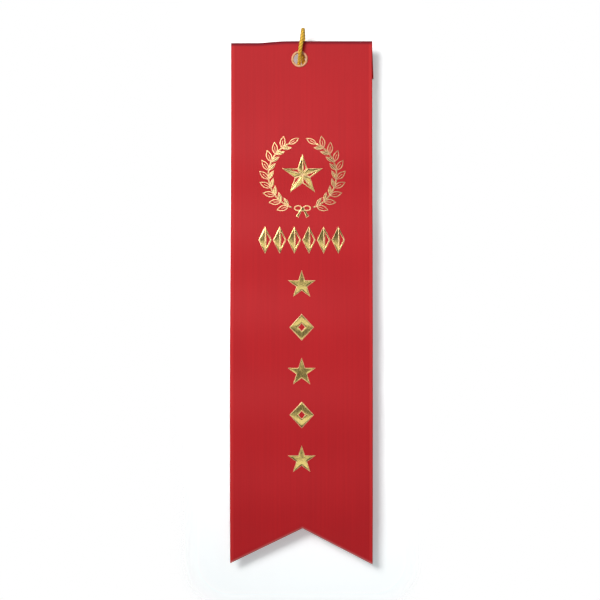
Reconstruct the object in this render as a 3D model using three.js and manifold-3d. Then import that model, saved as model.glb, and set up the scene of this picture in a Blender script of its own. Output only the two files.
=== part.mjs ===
// Award ribbon: a swallowtail satin ribbon, hot-stamped with gold foil, whose top is turned over an
// event card and clinched to it by a brass eyelet, with a knotted string through the eyelet.
//
// Frame: the origin is the middle of the eyelet's hole, where a pin or hook holds the ribbon.
// +X is to the viewer's right, +Y points away from the viewer, +Z is up. Millimetres throughout.
//
// Layers from front to back: foil, ribbon, card, turned-over hem. The ribbon is one length of cloth.
// Its tail is a solid of its own because the cloth bends freely below the stiff, doubled header.

import * as THREE from "three";
import { mergeVertices } from "three/addons/utils/BufferGeometryUtils.js";
import Module from "manifold-3d";

const wasm = await Module();
wasm.setup();

// ---------------------------------------------------------------- driving dimensions

// Ribbon
const ribbonWidth = 50.8; // a two-inch ribbon
const ribbonDrop = 180.8; // from the eyelet's axis down to the swallowtail's tips
const notchDepth = 12.9; // the swallowtail's cut, up from the tips
const notchShift = 0.4; // the notch, to the right of the ribbon's centre line
const clothThickness = 0.3;
const foldRise = 6.4; // from the eyelet's axis up to the fold
const hemDepth = 13.6; // from the fold down to the turned-over end
const ribbonShift = 0.75; // the ribbon's centre line, to the right of the eyelet
const bendGap = 0.3; // between the header and the tail, where the cloth bends

// Event card
const cardMargin = 3.15; // between the card's sides and the ribbon's
const cardHeight = 63.5;
const cardThickness = 0.4;
const layerGap = 0.1; // between the card and the cloth on each side of it
const restMargin = 1; // below the card, where the ribbon's back starts to be free to lie on something

// Eyelet
const boreRadius = 2.15;
const barrelWall = 0.2;
const barrelClearance = 0.15; // between the barrel and the holes punched for it
const frontFlangeWidth = 0.8;
const backFlangeWidth = 0.65;
const flangeHeight = 0.4;
const flangeGap = 0.05; // between a flange and the cloth under it
const domeSteps = 6; // over a flange's crown, from its edge into the bore
const eyeletSegments = 40;

// String
const stringDiameter = 1.4;
const stringSides = 8;
const straightStep = 3; // along the tube, where it runs nearly straight
const bendStep = 1.5; // and where it bends over the fold
const pointsPerStep = 6; // of the smooth route, for each step of the tube
const heightSamples = 4000; // along a route, to find where it passes a height
const stringGap = 0.3; // between the string's solids where they meet
const knotRadius = 2.1;
const liftHeight = -5.15; // where the loose loop behind the ribbon can be lifted

// Foil
const foilThickness = 0.06;
const foilLift = 0.02; // the film of adhesive under the foil
const emblemDrop = 41.65; // from the eyelet's axis down to the star's centre
const emblemShift = 0.3; // the emblem's centre, to the right of the ribbon's centre line
const starRadius = 7.63;
const starWaist = 0.382; // a star whose opposite edges line up
const starLine = 0.42;
const wreathRadius = 12.2;
const stemWidth = 0.5;
const stemSegments = 16;
const leafLine = 0.34;
const leafPairs = 9; // on each branch
// a leaf's lean is measured from the stem's direction, and an open leaf is a line with a vein inside it
const outerLeaf = { length: 4.6, width: 2.1, lean: -0.72, open: true };
const innerLeaf = { length: 3.7, width: 1.35, lean: 0.62, open: false };
const tipLeaf = { length: 4.4, width: 1.9, lean: -0.1, open: true };
const leafSegments = 5; // on each side of a leaf
const stalkReach = 0.25; // a leaf's edge bends here near its stalk, as a share of its length,
const stalkFullness = 1.5; // pulled out this many half-widths,
const tipReach = 0.8; // and here near its tip,
const tipFullness = 1.25; // pulled out this many
const tipInset = 1.4; // a leaf's point is drawn in this many line widths
const veinLength = 0.62; // as a share of the leaf's
const branchStart = -0.4 * Math.PI; // angles round the wreath, from +X
const branchEnd = 0.37 * Math.PI;
const branchMargin = 0.1; // from the stem's foot to its first pair of leaves
const tipOverlap = 0.02; // the last leaf's stalk, back from the stem's end
const bowLoopLength = 2.9;
const bowLoopHeight = 2.1;
const bowLoopReach = 1.6; // from the knot to the middle of a loop
const bowLoopRise = 0.35; // a loop's middle above the knot's
const bowKnotRadius = 0.75;
const bowLine = 0.4;
const bowEnd = [ // the right-hand cut end, from the knot down to its notched tip
  [0.1, 0],
  [0.75, -0.2],
  [2.35, -2.5],
  [1.75, -2.45],
  [1.45, -3.1],
];
const bandCount = 6;
const bandWidth = 31.5;
const bandHeight = 9.8;
const bandMiddle = -64.9;
const bandSpace = 0.45; // between neighbours in the band
const bandLine = 0.5;
const columnCount = 5;
const columnTop = -75.7;
const columnFoot = 19.9; // from the swallowtail's notch up to the column's foot
const columnFill = 0.609; // an ornament's height as a share of the column's pitch
const lozengeShare = 0.92; // a lozenge's width as a share of its height
const piercing = 0.28; // the hole in a lozenge as a share of the lozenge
const arcSegments = 10;

// ---------------------------------------------------------------- places worked out from them

const tau = 2 * Math.PI;
const headerHalf = cardThickness / 2 + layerGap + clothThickness; // from the mid-plane to either face
const frontFace = -headerHalf;
const hemBottom = foldRise - hemDepth;
const tailTop = hemBottom - bendGap;
const foldCentre = foldRise - headerHalf;
const punchedRadius = boreRadius + barrelWall + barrelClearance;
const cardTop = foldCentre - layerGap;
const cardWidth = ribbonWidth - 2 * cardMargin;
const restTop = cardTop - cardHeight - restMargin;
const foilBack = frontFace - foilLift;
const emblemX = ribbonShift + emblemShift;

// ---------------------------------------------------------------- materials

function finish(colour, roughness, metalness) {
  return new THREE.MeshStandardMaterial({ color: colour, roughness, metalness });
}

const satin = finish(0xc23033, 0.55, 0);
const goldFoil = finish(0xd4b25a, 0.25, 1);
const brass = finish(0xe0b878, 0.3, 1);
const cardStock = finish(0xf2efe6, 0.9, 0);
const goldString = finish(0xd9a52e, 0.8, 0);

// ---------------------------------------------------------------- solids and meshes

/** A closed three.js geometry as a manifold-3d solid. */
function solidFrom(geometry) {
  const bare = geometry.clone();
  bare.deleteAttribute("normal");
  bare.deleteAttribute("uv");
  const merged = mergeVertices(bare);
  return new wasm.Manifold(
    new wasm.Mesh({
      numProp: 3,
      vertProperties: merged.getAttribute("position").array,
      triVerts: merged.index.array,
    }),
  );
}

/** A manifold-3d solid as a three.js geometry. */
function geometryFrom(solid) {
  const { vertProperties, triVerts } = solid.getMesh();
  const geometry = new THREE.BufferGeometry();
  geometry.setAttribute("position", new THREE.BufferAttribute(vertProperties, 3));
  geometry.setIndex(new THREE.BufferAttribute(triVerts, 1));
  geometry.computeVertexNormals();
  return geometry;
}

function joined(solids) {
  return solids.reduce((whole, next) => whole.add(next));
}

/** A flat outline given a thickness, still lying in its own XY plane. */
function thickened(shape, depth, curveSegments = arcSegments) {
  return new THREE.ExtrudeGeometry(shape, { depth, bevelEnabled: false, curveSegments });
}

function polygon(points) {
  return new THREE.Shape(points.map(([x, y]) => new THREE.Vector2(x, y)));
}

function rectangle(x0, y0, x1, y1) {
  return polygon([
    [x0, y0],
    [x1, y0],
    [x1, y1],
    [x0, y1],
  ]);
}

function circlePath(x, y, radius) {
  return new THREE.Path().absarc(x, y, radius, 0, tau, true);
}

const ribbon = new THREE.Group();

function addMesh(name, geometry, material) {
  const mesh = new THREE.Mesh(geometry, material);
  mesh.name = name;
  ribbon.add(mesh);
  return mesh;
}

/** Stands a flat piece upright: its outline's Y becomes height, and its thickness runs back to `back`. */
function addUpright(name, geometry, material, x, back, z) {
  const mesh = addMesh(name, geometry, material);
  mesh.rotation.x = Math.PI / 2;
  mesh.position.set(x, back, z);
  return mesh;
}

// ---------------------------------------------------------------- ribbon, card and eyelet

/** The doubled top: the front layer, the fold, and the hem that is turned down behind the card. */
function makeHeader() {
  const inner = headerHalf - clothThickness;
  const section = new THREE.Shape(); // x is the front-to-back direction, y is height
  section.moveTo(-headerHalf, hemBottom);
  section.lineTo(-inner, hemBottom);
  section.lineTo(-inner, foldCentre);
  section.absarc(0, foldCentre, inner, Math.PI, 0, true);
  section.lineTo(inner, hemBottom);
  section.lineTo(headerHalf, hemBottom);
  section.lineTo(headerHalf, foldCentre);
  section.absarc(0, foldCentre, headerHalf, 0, Math.PI, false);
  section.closePath();
  const folded = thickened(section, ribbonWidth);
  const upright = new THREE.Matrix4().makeBasis(
    new THREE.Vector3(0, 1, 0),
    new THREE.Vector3(0, 0, 1),
    new THREE.Vector3(1, 0, 0),
  );
  folded.applyMatrix4(upright);
  folded.translate(ribbonShift - ribbonWidth / 2, 0, 0);
  const punch = new THREE.CylinderGeometry(punchedRadius, punchedRadius, 4 * headerHalf, eyeletSegments);
  addMesh("ribbon_header", geometryFrom(solidFrom(folded).subtract(solidFrom(punch))), satin);
}

/** The hanging cloth: a plain band behind which the card lies, and the swallowtail end below it. */
function makeTail() {
  const half = ribbonWidth / 2;
  const band = rectangle(-half, restTop, half, tailTop);
  const swallowtail = polygon([
    [-half, restTop],
    [-half, -ribbonDrop],
    [notchShift, notchDepth - ribbonDrop],
    [half, -ribbonDrop],
    [half, restTop],
  ]);
  const cloth = joined([band, swallowtail].map((outline) => solidFrom(thickened(outline, clothThickness))));
  addUpright("ribbon_tail", geometryFrom(cloth), satin, ribbonShift, frontFace + clothThickness, 0);
}

/** The card, whose top is held inside the fold. */
function makeCard() {
  const half = cardWidth / 2;
  const outline = rectangle(-half, cardTop - cardHeight, half, cardTop);
  outline.holes.push(circlePath(-ribbonShift, 0, punchedRadius));
  addUpright("event_card", thickened(outline, cardThickness), cardStock, ribbonShift, cardThickness / 2, 0);
}

/** A brass eyelet: a barrel, a domed front flange, and the flange rolled over behind the hem. */
function makeEyelet() {
  const under = headerHalf + flangeGap;
  const outer = boreRadius + barrelWall;
  const domed = (flangeWidth, side) => // half an ellipse, from the flange's edge over into the bore
    Array.from({ length: domeSteps + 1 }, (_, i) => {
      const turn = (Math.PI * i) / domeSteps;
      const radius = boreRadius + (flangeWidth / 2) * (1 + Math.cos(turn));
      return [radius, side * (under + flangeHeight * Math.sin(turn))];
    });
  const profile = [
    [outer, -under],
    ...domed(frontFlangeWidth, -1),
    ...domed(backFlangeWidth, 1).reverse(),
    [outer, under],
    [outer, -under],
  ];
  const points = profile.reverse().map(([radius, y]) => new THREE.Vector2(radius, y));
  addMesh("eyelet", new THREE.LatheGeometry(points, eyeletSegments), brass);
}

// ---------------------------------------------------------------- string

// The string's centre line, from the knot up behind the ribbon, over the fold, down its front,
// back through the eyelet and down to the knot again.
const stringRoute = [
  [1.7, 3.3, -44.0],
  [3.3, 3.1, -40.0],
  [4.3, 2.95, -34.0],
  [4.6, 2.9, -27.0],
  [4.2, 2.9, -20.0],
  [3.3, 2.9, -13.0],
  [2.25, 2.9, -7.5],
  [1.55, 2.9, -3.0],
  [1.3, 2.9, 1.0],
  [1.33, 2.9, 5.0],
  [1.38, 2.9, 7.7],
  [1.35, 2.51, 9.2],
  [1.31, 1.45, 10.26],
  [1.27, 0.0, 10.65],
  [1.2, -1.45, 10.26],
  [1.08, -2.51, 9.2],
  [0.93, -2.9, 7.7],
  [0.67, -2.9, 6.0],
  [0.4, -2.85, 4.2],
  [0.22, -2.55, 2.9],
  [0.1, -1.95, 1.75],
  [0.02, -1.0, 0.8],
  [-0.05, 0.0, -0.2],
  [-0.15, 1.0, -1.05],
  [-0.3, 1.9, -1.9],
  [-0.5, 2.6, -3.1],
  [-0.75, 2.85, -4.6],
  [-1.3, 2.9, -8.0],
  [-2.2, 2.9, -14.0],
  [-2.9, 2.9, -21.0],
  [-3.0, 2.9, -28.0],
  [-2.5, 2.95, -34.5],
  [-1.2, 3.1, -40.2],
  [0.3, 3.3, -44.0],
];
const knotCentre = [1.0, 3.3, -46.0];
const shortTailRoute = [
  [0.6, 3.3, -46.0],
  [0.1, 3.3, -48.4],
  [-0.4, 3.4, -51.0],
  [-1.2, 3.6, -54.0],
  [-1.6, 3.5, -57.5],
];
const longTailRoute = [
  [1.4, 3.3, -46.0],
  [1.95, 3.3, -48.4],
  [2.4, 3.3, -51.0],
  [3.1, 3.2, -55.0],
  [3.2, 3.4, -60.0],
];

function curveThrough(points) {
  return new THREE.CatmullRomCurve3(points.map((p) => new THREE.Vector3(...p)));
}

/** Arc lengths at which a curve passes a height, in order. */
function lengthsAtHeight(curve, height) {
  const points = curve.getSpacedPoints(heightSamples);
  const pitch = curve.getLength() / heightSamples;
  const found = [];
  for (let i = 0; i < heightSamples; i += 1) {
    if ((points[i].z - height) * (points[i + 1].z - height) <= 0) found.push((i + 0.5) * pitch);
  }
  return found;
}

/** A closed tube along part of a curve, given by arc lengths. */
function addString(name, curve, from, to, step) {
  const total = curve.getLength();
  const steps = Math.ceil((to - from) / step);
  const fine = pointsPerStep * steps;
  const points = [];
  for (let i = 0; i <= fine; i += 1) {
    points.push(curve.getPointAt((from + ((to - from) * i) / fine) / total));
  }
  const section = new THREE.Shape();
  for (let i = 0; i < stringSides; i += 1) {
    const turn = (tau * i) / stringSides;
    const x = (stringDiameter / 2) * Math.cos(turn);
    const y = (stringDiameter / 2) * Math.sin(turn);
    if (i === 0) section.moveTo(x, y);
    else section.lineTo(x, y);
  }
  section.closePath();
  const path = new THREE.CatmullRomCurve3(points);
  addMesh(name, new THREE.ExtrudeGeometry(section, { steps, extrudePath: path }), goldString);
}

/** The string in three stretches, split where the loose loop behind the ribbon can be lifted. */
function makeString() {
  const route = curveThrough(stringRoute);
  const knotTop = knotCentre[2] + knotRadius + stringGap;
  const knotBottom = knotCentre[2] - knotRadius - stringGap;
  const [riseFromKnot, backToKnot] = lengthsAtHeight(route, knotTop);
  const upperCuts = lengthsAtHeight(route, liftHeight + stringGap / 2);
  const lowerCuts = lengthsAtHeight(route, liftHeight - stringGap / 2);
  addString("string_bridge", route, upperCuts[0], upperCuts[1], bendStep);
  addString("string_strand_right", route, riseFromKnot, lowerCuts[0], straightStep);
  addString("string_strand_left", route, lowerCuts[1], backToKnot, straightStep);
  const ball = new THREE.SphereGeometry(knotRadius, 2 * stringSides, stringSides);
  const knot = addMesh("string_knot", ball, goldString);
  knot.position.set(...knotCentre);
  for (const [name, points] of [
    ["string_end_short", shortTailRoute],
    ["string_end_long", longTailRoute],
  ]) {
    const curve = curveThrough(points);
    const [leavesKnot] = lengthsAtHeight(curve, knotBottom);
    addString(name, curve, leavesKnot, curve.getLength(), straightStep);
  }
}

// ---------------------------------------------------------------- foil emblem

/** A flat outline's points on a circle, `side` of -1 mirroring them to the left. */
function polar(radius, angle, side = 1) {
  return [side * radius * Math.cos(angle), radius * Math.sin(angle)];
}

function pathThrough(points) {
  return new THREE.Path(points.map(([x, y]) => new THREE.Vector2(x, y)));
}

function foilSolid(shape, curveSegments = arcSegments) {
  return solidFrom(thickened(shape, foilThickness, curveSegments));
}

/** A triangle drawn in by a line's width on every side. */
function insetTriangle(corners, line) {
  const sides = corners.map((_, i) => {
    const [a, b] = [corners[(i + 1) % 3], corners[(i + 2) % 3]];
    return Math.hypot(a[0] - b[0], a[1] - b[1]);
  });
  const perimeter = sides.reduce((sum, side) => sum + side);
  const centre = [0, 1].map((k) => corners.reduce((sum, c, i) => sum + c[k] * sides[i], 0) / perimeter);
  const [[ax, ay], [bx, by], [cx, cy]] = corners;
  const area = Math.abs((bx - ax) * (cy - ay) - (cx - ax) * (by - ay)) / 2;
  const share = 1 - (line * perimeter) / (2 * area);
  return corners.map((c) => c.map((value, k) => centre[k] + share * (value - centre[k])));
}

/** The tip and the valley of a five-pointed star's arm. */
function starArm(radius, k) {
  const turn = tau / 4 + (k * tau) / 5;
  return [polar(radius, turn), polar(radius * starWaist, turn + tau / 10)];
}

/** A five-pointed star whose arms are each half foil and half bare cloth inside a foil line. */
function makeStar() {
  const outline = [];
  const bare = [];
  for (let k = 0; k < 5; k += 1) {
    const [tip, valley] = starArm(starRadius, k);
    const [, valleyBefore] = starArm(starRadius, k - 1);
    outline.push(tip, valley);
    bare.push(insetTriangle([[0, 0], valleyBefore, tip], starLine / 2));
  }
  const shape = polygon(outline);
  for (const corners of bare) shape.holes.push(pathThrough(corners));
  addUpright("foil_star", thickened(shape, foilThickness), goldFoil, emblemX, foilBack, -emblemDrop);
}

/** A leaf's edge, from its stalk at the origin to its tip on the X axis. */
function leafEdge(path, length, width, inset) {
  const half = width / 2 - inset;
  const nearStalk = [inset + stalkReach * length, stalkFullness * half];
  const nearTip = [tipReach * length, tipFullness * half];
  path.moveTo(inset, 0);
  path.bezierCurveTo(nearStalk[0], -nearStalk[1], nearTip[0], -nearTip[1], length - tipInset * inset, 0);
  path.bezierCurveTo(...nearTip, ...nearStalk, inset, 0);
  return path;
}

/** A leaf whose stalk is at a point, lying along a direction. */
function leafSolid({ length, width, open }, at, direction) {
  const shape = leafEdge(new THREE.Shape(), length, width, 0);
  const outlines = [shape];
  if (open) {
    shape.holes.push(leafEdge(new THREE.Path(), length, width, leafLine));
    outlines.push(rectangle(leafLine / 2, -leafLine / 3, veinLength * length, leafLine / 3));
  }
  return joined(
    outlines.map((outline) => {
      const geometry = thickened(outline, foilThickness, leafSegments);
      geometry.rotateZ(direction);
      geometry.translate(at[0], at[1], 0);
      return solidFrom(geometry);
    }),
  );
}

/** The stem: a ring's arc from the tie up to the branch's tip. */
function stemSolid(side) {
  const [outer, inner] = [wreathRadius + stemWidth / 2, wreathRadius - stemWidth / 2];
  const [from, to] = side > 0 ? [branchStart, branchEnd] : [Math.PI - branchEnd, Math.PI - branchStart];
  const shape = new THREE.Shape();
  shape.absarc(0, 0, outer, from, to, false);
  shape.absarc(0, 0, inner, to, from, true);
  shape.closePath();
  return foilSolid(shape, stemSegments);
}

/** One branch of a plain laurel wreath: open leaves outside the stem and solid ones inside it. */
function makeLaurel(name, side) {
  const leafAt = (leaf, angle) => {
    const direction = angle + Math.PI / 2 + leaf.lean; // the stem runs a quarter turn on from its angle
    return leafSolid(leaf, polar(wreathRadius, angle, side), side > 0 ? direction : Math.PI - direction);
  };
  const room = branchEnd - branchStart - branchMargin;
  const solids = [stemSolid(side), leafAt(tipLeaf, branchEnd - tipOverlap)];
  for (let i = 0; i < leafPairs; i += 1) {
    const angle = branchStart + branchMargin + (room * i) / leafPairs;
    solids.push(leafAt(outerLeaf, angle), leafAt(innerLeaf, angle));
  }
  addUpright(name, geometryFrom(joined(solids)), goldFoil, emblemX, foilBack, -emblemDrop);
}

/** The tie between the branches: two loops, a knot over them and two cut ends. */
function makeBow() {
  const solids = [foilSolid(new THREE.Shape().absarc(0, 0, bowKnotRadius, 0, tau, false))];
  for (const side of [-1, 1]) {
    const middle = side * bowLoopReach;
    const [halfLong, halfHigh] = [bowLoopLength / 2, bowLoopHeight / 2];
    const loop = new THREE.Shape().absellipse(middle, bowLoopRise, halfLong, halfHigh, 0, tau, false, 0);
    const opening = new THREE.Path();
    opening.absellipse(middle, bowLoopRise, halfLong - bowLine, halfHigh - bowLine, 0, tau, true, 0);
    loop.holes.push(opening);
    const end = bowEnd.map(([x, y]) => [side * x, y]);
    solids.push(foilSolid(loop), foilSolid(polygon(side < 0 ? end : end.reverse())));
  }
  const z = -emblemDrop - wreathRadius;
  addUpright("foil_bow", geometryFrom(joined(solids)), goldFoil, emblemX, foilBack, z);
}

// ---------------------------------------------------------------- foil ornaments

function lozengeCorners(width, height) {
  return [
    [0, -height / 2],
    [width / 2, 0],
    [0, height / 2],
    [-width / 2, 0],
  ];
}

/** A tall lozenge, its left half foil and its right half bare cloth inside a foil line. */
function facetedLozenge(width, height) {
  const corners = lozengeCorners(width, height);
  const shape = polygon(corners);
  shape.holes.push(pathThrough(insetTriangle(corners.slice(0, 3), bandLine)));
  return shape;
}

/** The band across the ribbon: upright lozenges spread evenly over its width. */
function makeBand() {
  const pitch = bandWidth / bandCount;
  for (let i = 0; i < bandCount; i += 1) {
    const x = ribbonShift + (i + 0.5) * pitch - bandWidth / 2;
    const geometry = thickened(facetedLozenge(pitch - bandSpace, bandHeight), foilThickness);
    addUpright(`foil_band_${i + 1}`, geometry, goldFoil, x, foilBack, bandMiddle);
  }
}

function solidStar(height) {
  const radius = height / (1 + Math.cos(tau / 10));
  const outline = [];
  for (let k = 0; k < 5; k += 1) outline.push(...starArm(radius, k));
  return polygon(outline.map(([x, y]) => [x, y + height / 2 - radius]));
}

function piercedLozenge(height) {
  const width = height * lozengeShare;
  const shape = polygon(lozengeCorners(width, height));
  shape.holes.push(pathThrough(lozengeCorners(width * piercing, height * piercing)));
  return shape;
}

/** The column down the ribbon: stars and lozenges by turns, from under the band to above the notch. */
function makeColumn() {
  const bottom = notchDepth + columnFoot - ribbonDrop;
  const pitch = (columnTop - bottom) / (columnCount - 1 + columnFill);
  const height = columnFill * pitch;
  for (let i = 0; i < columnCount; i += 1) {
    const isStar = i % 2 === 0;
    const geometry = thickened(isStar ? solidStar(height) : piercedLozenge(height), foilThickness);
    const name = `foil_column_${i + 1}_${isStar ? "star" : "lozenge"}`;
    addUpright(name, geometry, goldFoil, ribbonShift, foilBack, columnTop - height / 2 - i * pitch);
  }
}

// ---------------------------------------------------------------- assembly

makeHeader();
makeTail();
makeCard();
makeEyelet();
makeString();
makeStar();
makeLaurel("foil_laurel_left", -1);
makeLaurel("foil_laurel_right", 1);
makeBow();
makeBand();
makeColumn();

export default ribbon;
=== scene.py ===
"""An award ribbon: satin cloth folded over an event card, gold foil, a brass eyelet and a knotted string.

The ribbon hangs upright and faces -Y. Sizes are in millimetres until a mesh is made, and in metres after.
The string's routes and the lights are in metres from the start.
"""

import logging
import math
from collections.abc import Iterator
from contextlib import contextmanager
from dataclasses import dataclass, field
from enum import Enum
from typing import Any

import bmesh
import bpy
import numpy as np
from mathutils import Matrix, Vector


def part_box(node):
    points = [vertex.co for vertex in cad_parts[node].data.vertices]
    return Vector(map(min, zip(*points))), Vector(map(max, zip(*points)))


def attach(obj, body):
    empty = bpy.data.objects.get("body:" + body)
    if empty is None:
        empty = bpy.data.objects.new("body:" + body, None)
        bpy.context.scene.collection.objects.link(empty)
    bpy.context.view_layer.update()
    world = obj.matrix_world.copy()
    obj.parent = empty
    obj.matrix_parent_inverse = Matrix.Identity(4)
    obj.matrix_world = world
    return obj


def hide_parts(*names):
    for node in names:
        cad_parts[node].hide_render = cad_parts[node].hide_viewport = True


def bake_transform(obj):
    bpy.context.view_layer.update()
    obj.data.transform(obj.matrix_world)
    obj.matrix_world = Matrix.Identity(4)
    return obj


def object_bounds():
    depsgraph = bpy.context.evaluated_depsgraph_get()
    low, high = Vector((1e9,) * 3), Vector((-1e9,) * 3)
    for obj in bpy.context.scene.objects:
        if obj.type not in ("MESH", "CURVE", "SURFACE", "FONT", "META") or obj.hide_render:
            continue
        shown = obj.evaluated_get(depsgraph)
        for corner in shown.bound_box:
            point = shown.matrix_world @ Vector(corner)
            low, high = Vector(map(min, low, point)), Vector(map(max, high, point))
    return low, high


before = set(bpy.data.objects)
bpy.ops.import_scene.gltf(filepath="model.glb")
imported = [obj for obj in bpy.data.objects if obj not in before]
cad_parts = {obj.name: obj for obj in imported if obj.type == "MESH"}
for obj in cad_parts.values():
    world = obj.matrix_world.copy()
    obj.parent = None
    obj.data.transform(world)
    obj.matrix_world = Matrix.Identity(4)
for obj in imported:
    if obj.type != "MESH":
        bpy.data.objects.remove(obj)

log = logging.getLogger("award_ribbon")

MM = 0.001
TAU = 2 * math.pi
CAD_BOX = [list(corner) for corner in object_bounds()]
SAME_PLACE = 0.0005 * MM  # points nearer to each other than this are one
HOLE_RADIUS = 2.55  # of the hole through cloth and card, wide enough for the eyelet's barrel


class Body(str, Enum):
    """The bodies of the frame that pieces move with."""

    HEADER = "header"
    TAIL = "tail"
    LOOP = "loop"


class Slot(str, Enum):
    """The record's material slots."""

    SATIN = "satin"
    FOIL = "gold_foil"
    BRASS = "eyelet_brass"
    CARD = "card_stock"
    STRING = "gold_string"


class Side(Enum):
    """Which side of the emblem a branch is on; the value turns a right-hand outline into that side's."""

    LEFT = -1
    RIGHT = 1


# ------------------------------------------------------------------ arrays


def smooth(share: np.ndarray | float) -> np.ndarray | float:
    """The smooth step 3t^2 - 2t^3 of a share held between 0 and 1.

    Args:
        share: Where between the two ends, below 0 and above 1 included.

    Returns:
        A value from 0 to 1 with level ends.
    """
    held = np.clip(share, 0.0, 1.0)
    return held * held * (3 - 2 * held)


def box_mm(node: str) -> tuple[np.ndarray, np.ndarray]:
    """The lowest and highest corner of a CAD node, in millimetres.

    Args:
        node: The node's name.

    Returns:
        The two corners.
    """
    low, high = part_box(node)
    return np.array(low) / MM, np.array(high) / MM


def grid_faces(rows: int, columns: int) -> np.ndarray:
    """The quads of a grid whose points are numbered row by row.

    Args:
        rows: Rows of points.
        columns: Points in a row.

    Returns:
        An array of quads, four point numbers each.
    """
    number = np.arange(rows * columns).reshape(rows, columns)
    corners = (number[:-1, :-1], number[:-1, 1:], number[1:, 1:], number[1:, :-1])
    return np.stack(corners, axis=-1).reshape(-1, 4)


def punched(points: np.ndarray, faces: np.ndarray, radius: float) -> tuple[np.ndarray, np.ndarray]:
    """Opens the eyelet's round hole, about the Y axis, through an upright grid.

    Faces with a corner well inside the hole are taken away, and corners near its edge are moved out
    along their own radius onto the hole's circle.

    Args:
        points: The grid's points.
        faces: The grid's quads.
        radius: The hole's radius.

    Returns:
        The points and the quads that are left.
    """
    edge_room, core = 0.3, 0.1  # how far inside the circle a corner may lie and be moved out; the middle
    away = np.hypot(points[:, 0], points[:, 2])
    kept = faces[(away[faces] > radius - edge_room).all(axis=1)]
    inside = (away < radius) & (away > core)
    outwards = radius / away[inside]
    moved = points.copy()
    moved[inside] *= np.stack([outwards, np.ones(len(outwards)), outwards], axis=1)
    return moved, kept


def spline(points: np.ndarray, count: int) -> np.ndarray:
    """Evenly spaced points along a smooth curve through the given ones.

    Between two points the curve is a cubic whose end slopes are those of a line through the neighbours,
    measured against chord length; the result is then spaced evenly by length.

    Args:
        points: The points it passes through, one a row.
        count: How many points to return.

    Returns:
        An array of count rows.
    """
    chord = np.concatenate([[0.0], np.cumsum(np.linalg.norm(np.diff(points, axis=0), axis=1))])
    slope = np.gradient(points, chord, axis=0)
    at = np.linspace(0, chord[-1], 12 * count)
    span = np.clip(np.searchsorted(chord, at, side="right") - 1, 0, len(points) - 2)
    length = (chord[span + 1] - chord[span])[:, None]
    t = (at - chord[span])[:, None] / length
    curve = (
        (2 * t**3 - 3 * t**2 + 1) * points[span]
        + (t**3 - 2 * t**2 + t) * length * slope[span]
        + (3 * t**2 - 2 * t**3) * points[span + 1]
        + (t**3 - t**2) * length * slope[span + 1]
    )
    along = np.concatenate([[0.0], np.cumsum(np.linalg.norm(np.diff(curve, axis=0), axis=1))])
    even = np.linspace(0, along[-1], count)
    return np.stack([np.interp(even, along, curve[:, k]) for k in range(3)], axis=1)


def length_of(line: np.ndarray) -> float:
    """The length of a line of points.

    Args:
        line: The points, one a row.

    Returns:
        The length, in the points' unit.
    """
    return float(np.linalg.norm(np.diff(line, axis=0), axis=1).sum())


def carried_frames(line: np.ndarray) -> tuple[np.ndarray, np.ndarray]:
    """Two directions square to a line at each of its points, turning as little as they can along it.

    Each is the one before it, less its part along the line there, so the section doesn't spin.

    Args:
        line: The points, one a row.

    Returns:
        The two directions at each point.
    """
    along = np.gradient(line, axis=0)
    along /= np.linalg.norm(along, axis=1, keepdims=True)
    first = np.empty_like(line)
    guess = np.array([1.0, 0.0, 0.0]) if abs(along[0, 0]) < 0.8 else np.array([0.0, 1.0, 0.0])
    for i, direction in enumerate(along):
        guess = guess - (guess @ direction) * direction
        guess = guess / np.linalg.norm(guess)
        first[i] = guess
    return first, np.cross(along, first)


# ------------------------------------------------------------------ meshes and materials


@contextmanager
def opened(mesh: bpy.types.Mesh) -> Iterator[bmesh.types.BMesh]:
    """Opens a mesh for editing, and puts it back when the edit is done.

    Args:
        mesh: The mesh.

    Yields:
        The mesh in the form that is edited.
    """
    built = bmesh.new()
    built.from_mesh(mesh)
    yield built
    built.to_mesh(mesh)
    built.free()


def mesh_piece(name: str, points: np.ndarray, faces: np.ndarray, uv: np.ndarray | None = None,
               values: dict[str, np.ndarray] | None = None, weld: bool = True) -> bpy.types.Object:
    """Makes an object at the origin from points in millimetres.

    Args:
        name: The object's name.
        points: The points, one a row.
        faces: The faces, as point numbers.
        uv: Each point's place on the flat material, in millimetres.
        values: Named values, one for each point, for the material to read.
        weld: Whether points that share a place become one, which closes seams and poles.

    Returns:
        The object, shaded smooth.
    """
    mesh = bpy.data.meshes.new(name)
    mesh.from_pydata((points * MM).tolist(), [], faces.tolist())
    if uv is not None:
        corner_points = np.empty(len(mesh.loops), np.int32)
        mesh.loops.foreach_get("vertex_index", corner_points)
        mesh.uv_layers.new(name="flat").data.foreach_set("uv", uv[corner_points].astype(np.float32).ravel())
    for key, value in (values or {}).items():
        attribute = mesh.attributes.new(key, "FLOAT", "POINT")
        attribute.data.foreach_set("value", value.astype(np.float32))
    if weld:
        with opened(mesh) as built:
            bmesh.ops.remove_doubles(built, verts=built.verts, dist=SAME_PLACE)
    mesh.shade_smooth()
    piece = bpy.data.objects.new(name, mesh)
    bpy.context.collection.objects.link(piece)
    return piece


def turned_out(piece: bpy.types.Object) -> None:
    """Turns a closed piece's faces outwards.

    Args:
        piece: The piece, whose seams are already joined.
    """
    with opened(piece.data) as built:
        bmesh.ops.recalc_face_normals(built, faces=built.faces)


def face_forward(piece: bpy.types.Object) -> None:
    """Turns every face of a film towards -Y, the viewer's side.

    Args:
        piece: The film, before it has a thickness.
    """
    with opened(piece.data) as built:
        built.normal_update()
        bmesh.ops.dissolve_degenerate(built, dist=SAME_PLACE, edges=built.edges)
        built.normal_update()
        bmesh.ops.reverse_faces(built, faces=[f for f in built.faces if f.normal.y > 0])
    piece.data.shade_smooth()


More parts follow.
